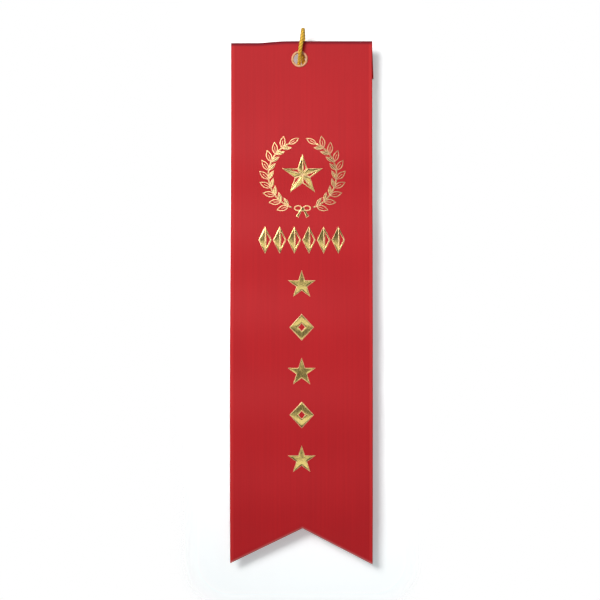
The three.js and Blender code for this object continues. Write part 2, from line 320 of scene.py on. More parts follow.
def drop_loose(piece: bpy.types.Object) -> None:
    """Takes away points that no face uses.

    Args:
        piece: The piece.
    """
    with opened(piece.data) as built:
        bmesh.ops.delete(built, geom=[v for v in built.verts if not v.link_faces], context="VERTS")


def give_thickness(piece: bpy.types.Object, thickness: float, offset: float) -> None:
    """Gives a sheet its thickness.

    Args:
        piece: The sheet.
        thickness: In millimetres.
        offset: -1 behind the sheet's faces, 0 to both sides, 1 in front of them.
    """
    wall = piece.modifiers.new("thickness", "SOLIDIFY")
    wall.thickness = thickness * MM
    wall.offset = offset
    wall.use_even_offset = False


def linear(colour: str) -> tuple[float, float, float, float]:
    """An sRGB hex colour as linear red, green, blue and an alpha of 1.

    Args:
        colour: Such as "#c23033".

    Returns:
        The linear colour.
    """
    parts = [int(colour[i : i + 2], 16) / 255 for i in (1, 3, 5)]
    red, green, blue = (c / 12.92 if c <= 0.04045 else ((c + 0.055) / 1.055) ** 2.4 for c in parts)
    return red, green, blue, 1.0


def add_node(tree: bpy.types.NodeTree, kind: str, settings: dict[str, Any] | None = None,
             inputs: dict[str | int, Any] | None = None) -> bpy.types.Node:
    """Adds a node with its settings, and links or sets its inputs.

    Args:
        tree: The node tree.
        kind: Blender's name for the node.
        settings: Properties to set.
        inputs: Values for its sockets; an output socket is linked instead.

    Returns:
        The node.
    """
    made = tree.nodes.new(kind)
    for key, value in (settings or {}).items():
        setattr(made, key, value)
    for key, value in (inputs or {}).items():
        if isinstance(value, bpy.types.NodeSocket):
            tree.links.new(value, made.inputs[key])
        else:
            made.inputs[key].default_value = value
    return made


def maths(tree: bpy.types.NodeTree, operation: str, *values: Any) -> bpy.types.NodeSocket:
    """One sum on one to three values.

    Args:
        tree: The node tree.
        operation: Blender's name for the sum.
        values: Numbers or output sockets.

    Returns:
        The result's socket.
    """
    return add_node(tree, "ShaderNodeMath", {"operation": operation}, dict(enumerate(values))).outputs[0]


def mixed(tree: bpy.types.NodeTree, share: Any, first: Any, second: Any) -> bpy.types.NodeSocket:
    """A colour between two others.

    Args:
        tree: The node tree.
        share: 0 for the first, 1 for the second.
        first: A colour or an output socket.
        second: A colour or an output socket.

    Returns:
        The colour's socket.
    """
    # a colour mix's sockets are numbered 6 and 7 because the node holds its other kinds' sockets too
    return add_node(tree, "ShaderNodeMix", {"data_type": "RGBA"}, {0: share, 6: first, 7: second}).outputs[2]


def new_surface(name: str, shader_inputs: dict[str, Any]) -> tuple[bpy.types.Material, Any, bpy.types.Node]:
    """Starts a material on one principled shader.

    Args:
        name: The material's name.
        shader_inputs: Values for the shader's own sockets.

    Returns:
        The material, its node tree and the shader.
    """
    material = bpy.data.materials.new(name)
    material.use_nodes = True
    tree = material.node_tree
    tree.nodes.clear()
    shader = add_node(tree, "ShaderNodeBsdfPrincipled", None, shader_inputs)
    add_node(tree, "ShaderNodeOutputMaterial", None, {"Surface": shader.outputs[0]})
    return material, tree, shader


def flat_place(tree: bpy.types.NodeTree) -> bpy.types.Node:
    """Reads the piece's own flat coordinates, in millimetres, split into their parts."""
    place = add_node(tree, "ShaderNodeUVMap", {"uv_map": "flat"})
    return add_node(tree, "ShaderNodeSeparateXYZ", None, {0: place.outputs[0]})


@dataclass(frozen=True)
class WovenSatin:
    """Polyester satin ribbon, woven with warp floats on its face, which give it a long soft sheen."""

    ground: str = "#a91f25"
    streak: str = "#c52429"
    selvage: str = "#c92d2e"
    # a dark colour painted along the fold as shade
    crease: str = "#6e0f20"
    # a pale colour painted along the heat-cut ends as a highlight
    cut_edge: str = "#d98f8a"
    warp_pitch: float = 0.34  # real warp is about 0.1 mm apart, too fine to show, so it is drawn coarser
    float_length: float = 1.9
    stagger: float = 2 / 5  # how far each float starts past its neighbour's, as a share of its length
    selvage_width: float = 1.4
    streak_size: tuple[float, float] = (0.8, 60.0)  # across and along
    cloud_size: tuple[float, float] = (18.0, 26.0)

    def build(self, half_width: float) -> bpy.types.Material:
        """Makes the material.

        Args:
            half_width: From the ribbon's middle to its edge, in millimetres.

        Returns:
            The material.
        """
        material, tree, shader = new_surface("woven_polyester_satin", {
            "Roughness": 0.5, "Specular IOR Level": 0.1, "Sheen Weight": 0.1, "Sheen Roughness": 0.4,
            "Sheen Tint": linear("#ff4038"), "Anisotropic": 0.35,
        })
        place = flat_place(tree)
        across, along = place.outputs[0], place.outputs[1]
        # warp yarns differ a little in dye and tension, which shows as long fine streaks
        stretched = add_node(tree, "ShaderNodeCombineXYZ", None, {
            0: maths(tree, "MULTIPLY", across, 1 / self.streak_size[0]),
            1: maths(tree, "MULTIPLY", along, 1 / self.streak_size[1])})
        streaks = add_node(tree, "ShaderNodeTexNoise", None, {
            "Vector": stretched.outputs[0], "Scale": 1.0, "Detail": 3.0, "Roughness": 0.6})
        cloud_place = add_node(tree, "ShaderNodeCombineXYZ", None, {
            0: maths(tree, "MULTIPLY", across, 1 / self.cloud_size[0]),
            1: maths(tree, "MULTIPLY", along, 1 / self.cloud_size[1])})
        clouds = add_node(tree, "ShaderNodeTexNoise", None, {
            "Vector": cloud_place.outputs[0], "Scale": 1.0, "Detail": 2.0})
        blend = maths(tree, "ADD", maths(tree, "MULTIPLY", streaks.outputs[0], 0.6),
                      maths(tree, "MULTIPLY", clouds.outputs[0], 0.4))
        colour = mixed(tree, blend, linear(self.ground), linear(self.streak))
        # the selvage is woven tighter than the ground and takes the light more strongly
        from_edge = maths(tree, "SUBTRACT", half_width, maths(tree, "ABSOLUTE", across))
        in_selvage = maths(tree, "SMOOTH_MIN", maths(tree, "MAXIMUM", maths(
            tree, "MULTIPLY", maths(tree, "SUBTRACT", self.selvage_width, from_edge), 2.5), 0.0), 1.0, 0.2)
        colour = mixed(tree, maths(tree, "MULTIPLY", in_selvage, 0.7), colour, linear(self.selvage))
        # painted shade darkens the cloth along the fold, and a painted highlight pales the ribbon's heat-cut
        # ends
        crease = add_node(tree, "ShaderNodeAttribute", {"attribute_name": "crease"}).outputs["Fac"]
        cut = add_node(tree, "ShaderNodeAttribute", {"attribute_name": "cut_edge"}).outputs["Fac"]
        colour = mixed(tree, crease, colour, linear(self.crease))
        colour = mixed(tree, cut, colour, linear(self.cut_edge))
        tree.links.new(colour, shader.inputs["Base Color"])
        # warp yarns stand as fine ribs, and each float dips where a weft yarn holds it down
        rib = maths(tree, "SINE", maths(tree, "MULTIPLY", across, TAU / self.warp_pitch))
        stagger = maths(tree, "MULTIPLY", maths(tree, "FLOOR", maths(
            tree, "DIVIDE", across, self.warp_pitch)), self.stagger * self.float_length)
        dip = maths(tree, "COSINE", maths(tree, "MULTIPLY", maths(
            tree, "ADD", along, stagger), TAU / self.float_length))
        height = maths(tree, "ADD", maths(tree, "MULTIPLY", rib, 0.5), maths(tree, "MULTIPLY", dip, 0.35))
        bump = add_node(tree, "ShaderNodeBump", None, {
            "Height": height, "Strength": 0.22, "Distance": 0.05 * MM})
        tree.links.new(bump.outputs[0], shader.inputs["Normal"])
        return material


@dataclass(frozen=True)
class StampedFoil:
    """Metallised film pressed onto cloth with a hot die: bright, with the weave showing through it."""

    bright: str = "#e6d083"
    worn: str = "#b39c58"
    # a pale colour painted along the film's outline as a highlight
    rim: str = "#efbf97"
    bare: str = "#86382a"  # cloth showing where little film has stuck
    grain: float = 0.5  # the cloth's yarns under the film
    crinkle: float = 1.6

    def build(self) -> bpy.types.Material:
        """Makes the material.

        Returns:
            The material.
        """
        material, tree, shader = new_surface("hot_stamped_gold_film", {"Metallic": 1.0})
        place = add_node(tree, "ShaderNodeTexCoord").outputs["Object"]
        yarns = add_node(tree, "ShaderNodeMapping", None, {
            "Vector": place, "Scale": (1 / (self.grain * MM), 1.0, 0.25 / (self.grain * MM))})
        weave = add_node(tree, "ShaderNodeTexNoise", None, {
            "Vector": yarns.outputs[0], "Scale": 1.0, "Detail": 3.0})
        folds = add_node(tree, "ShaderNodeTexNoise", None, {
            "Vector": place, "Scale": 1 / (self.crinkle * MM), "Detail": 2.0})
        # along the film's outline a paler colour is painted highlight, and there the film is rougher and less
        # metallic, so it scatters light every way
        rim = add_node(tree, "ShaderNodeAttribute", {"attribute_name": "rim"}).outputs["Fac"]
        colour = mixed(tree, weave.outputs[0], linear(self.worn), linear(self.bright))
        colour = mixed(tree, rim, colour, linear(self.rim))
        thin = add_node(tree, "ShaderNodeAttribute", {"attribute_name": "thin"}).outputs["Fac"]
        gaps = add_node(tree, "ShaderNodeMapRange", None, {
            "Value": folds.outputs[0], "From Min": 0.35, "From Max": 0.6, "To Min": 1.0, "To Max": 0.45})
        tree.links.new(mixed(tree, maths(tree, "MULTIPLY", thin, gaps.outputs[0]), colour, linear(self.bare)),
                       shader.inputs["Base Color"])
        rough = add_node(tree, "ShaderNodeMapRange", None, {
            "Value": weave.outputs[0], "From Min": 0.3, "From Max": 0.7, "To Min": 0.09, "To Max": 0.16})
        tree.links.new(maths(tree, "ADD", rough.outputs[0], maths(tree, "MULTIPLY", rim, 0.5)),
                       shader.inputs["Roughness"])
        tree.links.new(maths(tree, "SUBTRACT", 1.0, maths(tree, "MULTIPLY", rim, 0.6)),
                       shader.inputs["Metallic"])
        height = maths(tree, "ADD", maths(tree, "MULTIPLY", weave.outputs[0], 0.4), folds.outputs[0])
        bump = add_node(tree, "ShaderNodeBump", None, {
            "Height": height, "Strength": 0.24, "Distance": 0.05 * MM})
        tree.links.new(bump.outputs[0], shader.inputs["Normal"])
        return material


@dataclass(frozen=True)
class RolledBrass:
    """Thin brass sheet, rolled over in a press and polished, under a clear lacquer that softens its shine."""

    metal: str = "#e8b58a"
    tarnish: str = "#c9986e"
    spot: float = 0.7
    scratches: tuple[float, float, float] = (9000.0, 9000.0, 1500.0)  # to the metre, long ones upright

    def build(self) -> bpy.types.Material:
        """Makes the material.

        Returns:
            The material.
        """
        material, tree, shader = new_surface("rolled_brass_sheet", {"Metallic": 0.6})
        place = add_node(tree, "ShaderNodeTexCoord").outputs["Object"]
        spots = add_node(tree, "ShaderNodeTexNoise", None, {
            "Vector": place, "Scale": 1 / (self.spot * MM), "Detail": 4.0})
        share = add_node(tree, "ShaderNodeMapRange", None, {
            "Value": spots.outputs[0], "From Min": 0.45, "From Max": 0.7})
        tree.links.new(mixed(tree, share.outputs[0], linear(self.metal), linear(self.tarnish)),
                       shader.inputs["Base Color"])
        rough = add_node(tree, "ShaderNodeMapRange", None, {
            "Value": spots.outputs[0], "To Min": 0.6, "To Max": 0.78})
        tree.links.new(rough.outputs[0], shader.inputs["Roughness"])
        scratches = add_node(tree, "ShaderNodeMapping", None, {
            "Vector": place, "Scale": self.scratches})
        lines = add_node(tree, "ShaderNodeTexNoise", None, {"Vector": scratches.outputs[0], "Scale": 1.0})
        bump = add_node(tree, "ShaderNodeBump", None, {
            "Height": lines.outputs[0], "Strength": 0.15, "Distance": 0.02 * MM})
        tree.links.new(bump.outputs[0], shader.inputs["Normal"])
        return material


@dataclass(frozen=True)
class UncoatedCard:
    """Uncoated index card: matt, faintly fibrous, with grey rules printed on its back to write on."""

    stock: str = "#f3efe4"
    fleck: str = "#e3dccb"
    ink: str = "#8f8f96"
    fibre: float = 0.8
    rule_width: float = 0.22

    def build(self, rules: "CardRules") -> bpy.types.Material:
        """Makes the material.

        Args:
            rules: Where the printed rules lie.

        Returns:
            The material.
        """
        material, tree, shader = new_surface("uncoated_index_card", {
            "Roughness": 0.88, "Specular IOR Level": 0.3})
        place = add_node(tree, "ShaderNodeTexCoord").outputs["Object"]
        fibres = add_node(tree, "ShaderNodeTexNoise", None, {
            "Vector": place, "Scale": 1 / (self.fibre * MM), "Detail": 5.0})
        colour = mixed(tree, fibres.outputs[0], linear(self.stock), linear(self.fleck))
        flat = flat_place(tree)
        across, down = flat.outputs[0], flat.outputs[1]
        # a rule shows where the distance to the nearest line of the ruling is under half its width
        nearest = maths(tree, "PINGPONG", maths(tree, "SUBTRACT", down, rules.first), rules.pitch / 2)
        on_line = maths(tree, "LESS_THAN", nearest, self.rule_width / 2)
        in_rows = maths(tree, "MULTIPLY", maths(tree, "GREATER_THAN", down, rules.first - 1),
                        maths(tree, "LESS_THAN", down, rules.last + 1))
        in_line = maths(tree, "LESS_THAN", maths(tree, "ABSOLUTE", across), rules.half_length)
        back = add_node(tree, "ShaderNodeAttribute", {"attribute_name": "printed"}).outputs["Fac"]
        inked = maths(tree, "MULTIPLY", maths(tree, "MULTIPLY", on_line, in_rows),
                      maths(tree, "MULTIPLY", in_line, back))
        tree.links.new(mixed(tree, inked, colour, linear(self.ink)), shader.inputs["Base Color"])
        bump = add_node(tree, "ShaderNodeBump", None, {
            "Height": fibres.outputs[0], "Strength": 0.25, "Distance": 0.03 * MM})
        tree.links.new(bump.outputs[0], shader.inputs["Normal"])
        return material


@dataclass(frozen=True)
class TwistedYarn:
    """Rayon cord of three plies: painted light makes their crowns bright and painted shade makes the grooves
    olive, and it is finely fibrous.
    """

    # painted light on the plies' crowns and painted shade in their grooves
    crown: str = "#fccb3c"
    groove: str = "#a97b1a"
    fibre: float = 0.09

    def build(self) -> bpy.types.Material:
        """Makes the material.

        Returns:
            The material.
        """
        material, tree, shader = new_surface("twisted_rayon_cord", {
            "Roughness": 0.62, "Sheen Weight": 0.3, "Sheen Roughness": 0.35, "Specular IOR Level": 0.4})
        ply = add_node(tree, "ShaderNodeAttribute", {"attribute_name": "ply"}).outputs["Fac"]
        flat = flat_place(tree)
        # fibres lie along each ply, so they cross the cord's length at a slant
        slant = maths(tree, "ADD", flat.outputs[0], maths(tree, "MULTIPLY", flat.outputs[1], 0.9))
        fine = add_node(tree, "ShaderNodeCombineXYZ", None, {
            0: maths(tree, "DIVIDE", slant, self.fibre), 1: maths(tree, "DIVIDE", flat.outputs[1], 1.5)})
        fibres = add_node(tree, "ShaderNodeTexNoise", None, {
            "Vector": fine.outputs[0], "Scale": 1.0, "Detail": 2.0})
        # the ply share paints light on the crowns and shade in the grooves, and the fibres vary it at random
        share = maths(tree, "ADD", maths(tree, "MULTIPLY", ply, 0.8),
                      maths(tree, "MULTIPLY", maths(tree, "SUBTRACT", fibres.outputs[0], 0.4), 0.5))
        tree.links.new(mixed(tree, share, linear(self.groove), linear(self.crown)),
                       shader.inputs["Base Color"])
        bump = add_node(tree, "ShaderNodeBump", None, {
            "Height": fibres.outputs[0], "Strength": 0.4, "Distance": 0.04 * MM})
        tree.links.new(bump.outputs[0], shader.inputs["Normal"])
        return material


def finish_piece(piece: bpy.types.Object, material: bpy.types.Material, slot: Slot, *nodes: str) -> None:
    """Dresses a piece and hides the CAD nodes that it stands for.

    Args:
        piece: The piece.
        material: Its material.
        slot: Not used.
        nodes: The CAD nodes.
    """
    piece.data.materials.append(material)
    if nodes:
        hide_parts(*nodes)
    log.info("%s: %d faces", piece.name, len(piece.data.polygons))


# ------------------------------------------------------------------ cloth


@dataclass
class SatinRibbon:
    """The ribbon: one length of satin from the swallowtail up its front, over the fold and down the hem."""

    width: float
    centre: float
    drop: float
    fold_top: float
    hem_bottom: float
    front_face: float
    cloth: float
    notch_depth: float = 13.0
    notch_shift: float = 0.4
    hole_radius: float = HOLE_RADIUS
    fold_slope: float = 0.7  # the fold's left end hangs this much lower than its right
    fold_level: float = 0.35  # how far left of the middle the fold is still level, in quarter widths
    point_slope: float = 0.18  # the right point hangs this much lower than the two points' mean
    flare: float = 0.012  # the share by which the free cloth is wider than the header
    flare_start: float = 20.0
    flare_height: float = 100.0
    drawn_in: float = 0.25  # the share of the flare by which the header is narrower than its solid
    drift: float = -0.11  # the free cloth hangs a little to the left of the header
    drift_start: float = 50.0
    drift_height: float = 70.0
    fold_puff: float = 0.12  # the fold isn't pressed quite flat, so it stands this much over its solid
    give: float = 0.5  # how much lower the cloth hangs than its solid, from its own weight
    hem_skew: float = 0.5  # the hem's lower end is turned a little to the right of the front
    hang_start: float = -9.0  # below this the cloth is free of the card's stiffness
    hang_height: float = 34.0  # over this height the waves grow to their full size
    cup: float = 0.65
    wave: float = 0.24
    wave_length: float = 31.0
    wave_phase: float = -66.0
    curl: float = 1.7
    curl_height: float = 48.0  # how much of the lower end curls back
    curl_limit: float = 1.1  # the share of that height at which the curl stops growing
    curl_mean: float = 0.85
    curl_lean: float = 0.15  # the left point curls more than the right
    painted_fold_shade_reach: float = 0.75  # from the fold's ridge, before the painted shade along it starts to fade
    painted_fold_shade_fade: float = 0.8
    painted_fold_shade_strength: float = 0.85
    front_cut_highlight_reach: float = 0.08  # how high the painted highlight reaches at the swallowtail
    front_cut_highlight_strength: float = 0.66
    hem_cut_start: float = 0.975  # the share of the hem's depth where the painted highlight at its cut end starts
    hem_cut_highlight_strength: float = 0.9
    header_overlap: float = 1.0  # how far below the hem the header's even rows start
    bend_height: float = 12.0  # the height over which the cloth bends when it is lifted
    columns: int = 121
    free_rows: int = 180
    header_rows: int = 36
    fold_rows: int = 14
    hem_rows: int = 34

    @classmethod
    def from_frame(cls) -> "SatinRibbon":
        """Takes the sizes from the frame's header and tail.

        Returns:
            The ribbon.
        """
        header_low, header_high = box_mm("ribbon_header")
        tail_low, tail_high = box_mm("ribbon_tail")
        return cls(
            width=tail_high[0] - tail_low[0],
            centre=(tail_low[0] + tail_high[0]) / 2,
            drop=-tail_low[2],
            fold_top=header_high[2],
            hem_bottom=header_low[2],
            front_face=tail_low[1],
            cloth=tail_high[1] - tail_low[1],
        )

    @property
    def half(self) -> float:
        """From the ribbon's middle to its edge."""
        return self.width / 2

    def sway(self, x: np.ndarray, z: np.ndarray) -> np.ndarray:
        """How far the hanging cloth stands behind its flat place.

        The middle stands forward of the edges by a parabola, and a shallow cosine wave runs down the
        length. Both grow by a smooth step from the header's edge, where the card keeps the cloth flat.
        The lower end curls back by the square of the share of its height, the left side more.

        Args:
            x: Places across, from the ribbon's middle.
            z: Heights.

        Returns:
            Distances along +Y.
        """
        hang = smooth((self.hang_start - z) / self.hang_height)
        cupped = -self.cup * (1 - (x / self.half) ** 2)
        waved = -self.wave * (1 + np.cos(TAU * (z - self.wave_phase) / self.wave_length))
        low = np.clip((-z - self.drop + self.curl_height) / self.curl_height, 0, self.curl_limit)
        curled = self.curl * low**2 * (self.curl_mean - self.curl_lean * x / self.half)
        return hang * (cupped + waved) + curled

    def face(self, x: np.ndarray, z: np.ndarray) -> np.ndarray:
        """The front face's Y at places on the row's X and Z.

        Args:
            x: Places across, in the frame.
            z: Heights.

        Returns:
            The face's Y.
        """
        return self.front_face + self.sway(x - self.centre, z)

    def _lower_edge(self, x: np.ndarray) -> np.ndarray:
        """The swallowtail's height: two straight cuts that rise to the notch, the right point the lower.

        Args:
            x: Places across, from the ribbon's middle.

        Returns:
            The heights.
        """
        reach = np.where(x < self.notch_shift, self.half + self.notch_shift, self.half - self.notch_shift)
        rise = self.notch_depth * (1 - np.abs(x - self.notch_shift) / reach)
        return -self.drop - self.give + rise - self.point_slope * x / self.half

    def _fold_dip(self, x: np.ndarray) -> np.ndarray:
        """How far the fold stands over its solid: lower on the left, by a smooth step."""
        return self.fold_puff - self.fold_slope * smooth(-(x / self.half) * 2 - self.fold_level)

    def _spread(self, z: np.ndarray) -> np.ndarray:
        """The cloth's width at a height, as a share of its solid's: under 1 at the header, over 1 below."""
        return 1 + self.flare * (smooth((-z - self.flare_start) / self.flare_height) - self.drawn_in)

    def surface(self) -> tuple[np.ndarray, np.ndarray, dict[str, np.ndarray]]:
        """The middle of the cloth as a grid of columns across and rows along its length.

        The front's rows run from the swallowtail's cut up to the fold's centre. The fold is a half
        circle, and the hem runs down behind, sheared to the right by its depth.

        Returns:
            The points, their places on the flat cloth, and the values that the material reads.
        """
        x = np.linspace(-self.half, self.half, self.columns)[None, :]
        middle = -(self.front_face + self.cloth / 2)  # the fold's radius at the cloth's middle
        centre = self.fold_top + self.front_face
        share = np.linspace(0, 1, self.free_rows)[:-1, None]
        free_top = self.hem_bottom - self.header_overlap
        free_z = self._lower_edge(x) * (1 - share) + free_top * share
        header_z = np.linspace(free_top, centre, self.header_rows)[:-1, None] + 0 * x
        front_z = np.concatenate([free_z, header_z])
        turn = np.linspace(0, np.pi, self.fold_rows)[:, None]
        hem_z = np.linspace(centre, self.hem_bottom, self.hem_rows)[1:, None] + 0 * x
        z = np.concatenate([front_z, centre + middle * np.sin(turn) + 0 * x, hem_z])
        y = np.concatenate([
            -middle + self.sway(x, front_z), -middle * np.cos(turn) + 0 * x, middle + 0 * hem_z])
        behind = np.concatenate([0 * front_z, 0 * turn + 0 * x, centre - hem_z])
        lift = np.clip((z - self.hem_bottom) / (centre - self.hem_bottom), 0, 1)
        lift[-len(hem_z):] = 1
        z = z + self._fold_dip(x) * lift
        depth = behind / (centre - self.hem_bottom)
        drifted = self.drift * smooth((-z - self.drift_start) / self.drift_height)
        place_x = x * self._spread(z) + self.centre + self.hem_skew * depth + drifted
        along = np.concatenate([
            front_z, centre + middle * turn + 0 * x, centre + middle * np.pi + (centre - hem_z)])
        from_fold = np.abs(along - (centre + middle * np.pi / 2))
        from_cut = z - self._lower_edge(x)
        values = {
            # painted shade along the fold
            "crease": (self.painted_fold_shade_strength * (
                1 - smooth((from_fold - self.painted_fold_shade_reach) / self.painted_fold_shade_fade))).ravel(),
            # a painted highlight along the cut ends
            "cut_edge": np.where(depth > self.hem_cut_start, self.hem_cut_highlight_strength, np.where(
                from_cut < self.front_cut_highlight_reach, self.front_cut_highlight_strength, 0.0)).ravel(),
        }
        points = np.stack([place_x + 0 * z, y, z], axis=-1).reshape(-1, 3)
        flat = np.stack([x + 0 * z, along], axis=-1).reshape(-1, 2)
        return points, flat, values

    def build(self, finish: WovenSatin) -> bpy.types.Object:
        """Makes the cloth of the header and the tail.

        Args:
            finish: The satin.

        Returns:
            The piece.
        """
        points, flat, values = self.surface()
        faces = grid_faces(len(points) // self.columns, self.columns)
        points, faces = punched(points, faces, self.hole_radius)
        piece = mesh_piece("satin_ribbon", points, faces, flat, values, weld=False)
        drop_loose(piece)
        give_thickness(piece, self.cloth, 0)
        finish_piece(piece, finish.build(self.half), Slot.SATIN, "ribbon_header", "ribbon_tail")
        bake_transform(piece)
        return piece


# ------------------------------------------------------------------ card and eyelet


@dataclass(frozen=True)
class CardRules:
    """The card's printed rules: how far down they start and end, their pitch and half their length."""

    first: float
    last: float
    pitch: float
    half_length: float


@dataclass
class EventCard:
    """The index card held in the fold. It bows away from the ribbon towards its lower end."""

    low: np.ndarray
    high: np.ndarray
    bow: float = 0.55
    corner: float = 1.5
    out_of_square: float = 1.1  # how much lower the top edge is cut on the left, under the sloping fold
    cut_fade: float = 8.0  # how far down the card the rows still follow that cut
    held_height: float = 13.0  # how far down the hem holds the card straight
    rules: CardRules = CardRules(first=24.0, last=56.0, pitch=8.0, half_length=17.5)
    columns: int = 61
    rows: int = 109
    hole_radius: float = HOLE_RADIUS

    @classmethod
    def from_frame(cls) -> "EventCard":
        """The card with its sizes taken from the frame."""
        return cls(*box_mm("event_card"))

    def surface(self) -> tuple[np.ndarray, np.ndarray]:
        """The card's middle as a grid.

        Rows run down it and columns across. Near the lower corners a row is drawn in by a quarter
        circle. The bow is the square of the depth below the hem. The top edge is lower on the left by a
        smooth step, which dies away a little below it.

        Returns:
            The points and their flat places, measured down from the top edge.
        """
        width, height = self.high[0] - self.low[0], self.high[2] - self.low[2]
        down = np.linspace(0, height, self.rows)[:, None]
        past = np.clip(down - (height - self.corner), 0, self.corner)
        drawn_in = self.corner - np.sqrt(self.corner**2 - past**2)
        across = np.linspace(-1, 1, self.columns)[None, :] * (width / 2 - drawn_in)
        free = np.clip((down - self.held_height) / (height - self.held_height), 0, 1)
        y = (self.low[1] + self.high[1]) / 2 + self.bow * free**2 + 0 * across
        x = (self.low[0] + self.high[0]) / 2 + across
        lower = self.out_of_square * smooth(-2 * across / (width / 2)) * (1 - smooth(down / self.cut_fade))
        points = np.stack([x, y, self.high[2] - down - lower], axis=-1)
        flat = np.stack([across, down + 0 * across], axis=-1)
        return points.reshape(-1, 3), flat.reshape(-1, 2)

    def build(self, finish: UncoatedCard) -> bpy.types.Object:
        """Makes the card, with blank rules on its back.

        Args:
            finish: The card stock.

        Returns:
            The piece.
        """
        middle, flat = self.surface()
        half = (self.high[1] - self.low[1]) / 2
        middle, faces = punched(middle, grid_faces(self.rows, self.columns), self.hole_radius)
        # front and back are two copies of the grid, joined by a wall along every open edge
        front, back = middle - [0, half, 0], middle + [0, half, 0]
        edges = faces[:, [0, 1, 1, 2, 2, 3, 3, 0]].reshape(-1, 2)
        key = np.sort(edges, axis=1)
        _, first, uses = np.unique(key, axis=0, return_index=True, return_counts=True)
        rim = edges[first[uses == 1]]
        count = len(middle)
        walls = np.stack([rim[:, 1], rim[:, 0], rim[:, 0] + count, rim[:, 1] + count], axis=1)
        piece = mesh_piece(
            "event_card_stock", np.concatenate([front, back]),
            np.concatenate([faces, faces[:, ::-1] + count, walls]), np.concatenate([flat, flat]),
            {"printed": np.concatenate([np.zeros(count), np.ones(count)])}, weld=False)
        drop_loose(piece)
        turned_out(piece)
        finish_piece(piece, finish.build(self.rules), Slot.CARD, "event_card")
        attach(piece, Body.HEADER.value)
        return piece


@dataclass
class RolledEyelet:
    """The eyelet: a barrel whose front end is a domed flange and whose back end is rolled over the hem."""

    outer: float
    front: float
    back: float
    bore: float = 2.15
    wall: float = 0.2
    back_width: float = 0.65
    flange_height: float = 0.4
    flange_fullness: float = 0.8  # under 1, the flange's dome is fuller than a sine's
    flange_points: int = 19
    flutes: int = 14
    flute_height: float = 0.04
    flute_fade: tuple[float, float] = (0.3, 0.1)  # how soon they grow outwards and along the barrel
    segments: int = 128

    @classmethod
    def from_frame(cls) -> "RolledEyelet":
        """The eyelet with its sizes taken from the frame."""
        low, high = box_mm("eyelet")
        return cls(outer=high[0], front=low[1], back=high[1])

    def _flange(self, edge: float, top: float, side: int) -> np.ndarray:
        """Half a flange's section: up from its outer edge, over its crown and down into the bore.

        Args:
            edge: The flange's outer radius.
            top: The crown's Y.
            side: -1 at the front, 1 at the back.

        Returns:
            Radius and Y, one pair a row.
        """
        turn = np.linspace(0, np.pi, self.flange_points)
        middle, half = (edge + self.bore) / 2, (edge - self.bore) / 2
        radius = middle + half * np.cos(turn)
        y = top - side * self.flange_height * (1 - np.sin(turn) ** self.flange_fullness)
        return np.stack([radius, y], axis=1)

    def build(self, finish: RolledBrass) -> bpy.types.Object:
        """Turns the section about the Y axis; the rolled back edge is slightly fluted by its die.

        Args:
            finish: The brass.

        Returns:
            The piece.
        """
        barrel = self.bore + self.wall
        front = self._flange(self.outer, self.front, -1)
        back = self._flange(self.bore + self.back_width, self.back, 1)[::-1]
        under_front, under_back = self.front + self.flange_height, self.back - self.flange_height
        section = np.concatenate([
            [[barrel, under_front]], front, back, [[barrel, under_back], [barrel, under_front]]])
        turn = np.linspace(0, TAU, self.segments + 1)
        outwards, along = self.flute_fade
        fluted = smooth((section[:, 1] - under_back) / along) * smooth((section[:, 0] - barrel) / outwards)
        radius = section[:, :1] + self.flute_height * fluted[:, None] * np.cos(self.flutes * turn)[None, :]
        points = np.stack([
            radius * np.cos(turn), section[:, 1:] + 0 * turn, radius * np.sin(turn)], axis=-1)
        piece = mesh_piece("eyelet_rolled", points.reshape(-1, 3), grid_faces(len(section), len(turn)))
        turned_out(piece)
        finish_piece(piece, finish.build(), Slot.BRASS, "eyelet")
        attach(piece, Body.HEADER.value)
        return piece


# ------------------------------------------------------------------ string

# The string's centre line in metres: from inside the eyelet forward, up over the fold and down behind
# to the knot, and from inside the eyelet back and down to the knot. Then the knot's two cut ends.
OVER_FOLD = np.array([
    [-0.00005, 0.0000, -0.0002],
    [0.00002, -0.0010, 0.0008],
    [0.00010, -0.00195, 0.00175],
    [0.00022, -0.00255, 0.0029],
    [0.00040, -0.00285, 0.0042],
    [0.00067, -0.0029, 0.0060],
    [0.00093, -0.0029, 0.0077],
    [0.00108, -0.00251, 0.0092],
    [0.00120, -0.00145, 0.01026],
    [0.00127, 0.0000, 0.01065],
    [0.00131, 0.00145, 0.01026],
    [0.00135, 0.00251, 0.0092],
    [0.00138, 0.0029, 0.0077],
    [0.00133, 0.0029, 0.0050],
    [0.00130, 0.0029, 0.0010],
    [0.00155, 0.0029, -0.0030],
    [0.00225, 0.0029, -0.0075],
    [0.00330, 0.0029, -0.0130],
    [0.00420, 0.0029, -0.0200],
    [0.00460, 0.0029, -0.0270],
    [0.00430, 0.00295, -0.0340],
    [0.00330, 0.0031, -0.0400],
    [0.00170, 0.0033, -0.0440],
])
BEHIND = np.array([
    [-0.00005, 0.0000, -0.0002],
    [-0.00015, 0.0010, -0.00105],
    [-0.00030, 0.0019, -0.0019],
    [-0.00050, 0.0026, -0.0031],
    [-0.00075, 0.00285, -0.0046],
    [-0.00130, 0.0029, -0.0080],
    [-0.00220, 0.0029, -0.0140],
    [-0.00290, 0.0029, -0.0210],
    [-0.00300, 0.0029, -0.0280],
    [-0.00250, 0.00295, -0.0345],
    [-0.00120, 0.0031, -0.0402],
    [0.00030, 0.0033, -0.0440],
])
SHORT_END = np.array([
    [0.0006, 0.0033, -0.0460],
    [0.0001, 0.0033, -0.0484],
    [-0.0004, 0.0034, -0.0510],
    [-0.0012, 0.0036, -0.0540],
    [-0.0016, 0.0035, -0.0575],
])
LONG_END = np.array([
    [0.0014, 0.0033, -0.0460],
    [0.00195, 0.0033, -0.0484],
    [0.0024, 0.0033, -0.0510],
    [0.0031, 0.0032, -0.0550],
    [0.0032, 0.0034, -0.0600],
])


